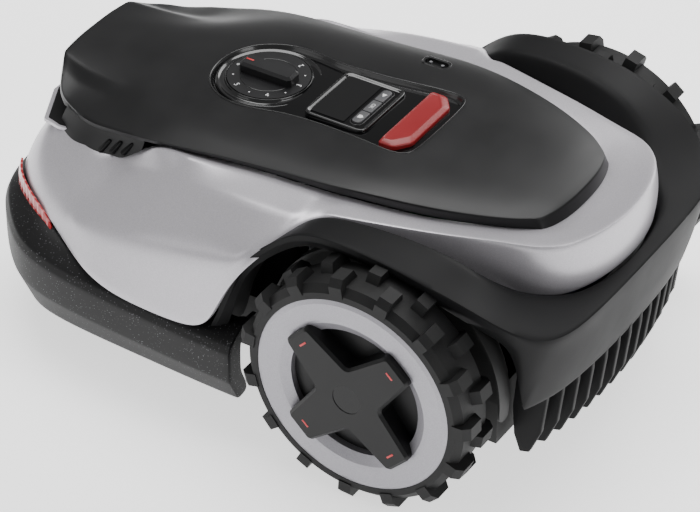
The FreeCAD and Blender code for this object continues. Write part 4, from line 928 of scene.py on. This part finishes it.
def make_display():
    """Rounded bezel with a rolled edge, the deck inside it, and a bright hairline round the glass."""
    loop = round_outline([(-37, -22, 9), (37, -22, 9), (37, 40, 9), (-37, 40, 9)], 8)
    bezel = rolled_band("display_bezel", loop, [(0.4, 226.5), (0.0, 230.4), (-0.7, 231.3), (-1.6, 231.5),
                                                (-2.4, 231.2), (-4.4, 229.9), (-5.4, 229.8)])
    subdivide(bezel, 1)
    finished(bezel, "chassis", RING_GLOSS, 60)
    deck = prism("display_deck", grown(loop, -4.6), 226, 230)
    finished(deck, "chassis", PIANO_BLACK)
    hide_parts("display_frame")
    pill = round_outline([(-30, 20, 5.9), (30, 20, 5.9), (30, 32, 5.9), (-30, 32, 5.9)], 8)
    border = rolled_band("key_surround", pill, [(0.6, 229.8), (0.3, 230.6), (-0.3, 230.7), (-0.8, 230.0)])
    finished(border, "chassis", DIAL_ABS, 60)


def make_keys():
    """Grey silicone pill of three keys with generic symbols: play, OK and home."""
    for label, body, x in (("key_start", "start_key", -1), ("key_ok", "ok_key", 0), ("key_home", "home_key", 1)):
        low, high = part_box(label)
        x0, x1, y0, y1 = low.x / MM, high.x / MM, low.y / MM, high.y / MM
        near, far = (4.4 if x < 0 else 0.8), (4.4 if x > 0 else 0.8)
        outline = round_outline([(x0, y0, near), (x1, y0, far), (x1, y1, far), (x0, y1, near)])
        cap = prism(f"{label}_cap", outline, low.z / MM, high.z / MM + 0.2)
        round_edges(cap, 0.5, 50, 3)
        finished(cap, body, KEY_SILICONE)
        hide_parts(label)
        centre, z = ((x0 + x1) / 2, (y0 + y1) / 2), high.z / MM + 0.25
        if x < 0:
            mark = prism("play_mark", [(centre[0] - 2.2, centre[1] - 2.4), (centre[0] + 2.6, centre[1]),
                                       (centre[0] - 2.2, centre[1] + 2.4)], z, z + 0.12)
        elif x > 0:
            mark = prism("home_mark", [(centre[0] - 2.4, centre[1] - 2.2), (centre[0] + 2.4, centre[1] - 2.2),
                                       (centre[0] + 2.4, centre[1] + 0.6), (centre[0], centre[1] + 2.8),
                                       (centre[0] - 2.4, centre[1] + 0.6)], z, z + 0.12)
        if x:
            round_edges(mark, 0.04, 30, 1)
            finished(mark, body, PRINT_WHITE)
        else:
            flat_text("ok_mark", "OK", 5.0, (centre[0], centre[1], z), 0, body, PRINT_WHITE)


def make_stop_button():
    """Red cap: straight front edge, rounded rear corners, a broad chamfer round a slightly sunk pressing face."""
    low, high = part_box("stop_button")
    top = high.z / MM

    def level_loop(inset, z):
        half, front, rear = 45 - inset, 59.4 + inset * 0.35, 85.2 - inset
        loop = round_outline([(-half, front, 2.5), (half, front, 2.5), (half, rear - 11, 8), (half - 14, rear, 9),
                              (14 - half, rear, 9), (-half, rear - 11, 8)], 5)
        return [(x, y, z) for x, y in loop + loop[:1]]

    cap = sheet_of("stop_cap", [level_loop(*at) for at in (
        (0, low.z / MM), (0, top - 3.4), (0.25, top - 2.7), (0.9, top - 2.2), (4.4, top - 0.1), (5.0, top),
        (5.5, top - 0.05), (6.0, top - 0.4), (6.4, top - 0.45))], ring=True)
    close_top(cap)
    face_to(cap, (0, 0, 1))
    finished(cap, "stop", STOP_RED, 50)
    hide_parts("stop_button")


def make_sensor_rim():
    """Bright rolled rim round the rain sensor's oval cup."""
    low, high = (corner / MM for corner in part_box("rain_sensor_cup"))
    loop = round_outline([(low.x, low.y, 5.8), (high.x, low.y, 5.8), (high.x, high.y, 5.8), (low.x, high.y, 5.8)], 8)
    top = high.z
    rim = rolled_band("sensor_rim", loop, [(1.0, top - 1.0), (0.9, top + 0.5), (0.4, top + 0.8), (-0.1, top + 0.5),
                                           (-0.4, top - 0.6)])
    subdivide(rim, 1)
    finished(rim, "chassis", RING_GLOSS, 60)


def make_wheel_marks():
    """Four short red dashes near the ends of each hub cap's arms."""
    reach, first_arm = 58.5, 46
    for side, way in LEFT_AND_RIGHT:
        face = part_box(f"hub_cap_{side}")[1 if way > 0 else 0].x / MM
        for arm in range(4):
            a = math.radians(first_arm + 90 * arm)
            across = (math.cos(a), math.sin(a))
            y, z = AXLE_Y + across[0] * reach, AXLE_Z + across[1] * reach
            dash = bar(f"hub_dash_{arm + 1}_{side}", (0.35, 8.0, 1.7), (0, 0, 0), 0.12)
            dash.rotation_euler = (a + math.pi / 2, 0, 0)
            dash.location = (face * MM, y * MM, z * MM)
            settle(dash)
            finished(dash, f"drive_wheel_{side}", PRINT_RED)


def soften_nodes():
    """Small rounded edges on the CAD pieces that show."""
    for label, width in (("tyre_left", 0.9), ("tyre_right", 0.9), ("hub_cap_left", 2.4), ("hub_cap_right", 2.4),
                         ("wheel_ring_left", 0.4), ("wheel_ring_right", 0.4), ("visor", 0.6), ("visor_trim", 0.5),
                         ("height_dial", 1.6), ("display_window", 0.5)):
        node = NODES[label]
        edge = node.modifiers.new("soft_edge", "BEVEL")
        edge.width, edge.segments, edge.limit_method = width * MM, 3, "ANGLE"
        edge.angle_limit = math.radians(35)


make_studio()
make_hood()
make_control_recess()
make_silver_shell()
make_bumper()
make_reflectors()
make_guard()
make_comb()
make_arch_liner()
make_vents()
make_dial()
make_display()
make_keys()
make_stop_button()
make_sensor_rim()
make_wheel_marks()
soften_nodes()
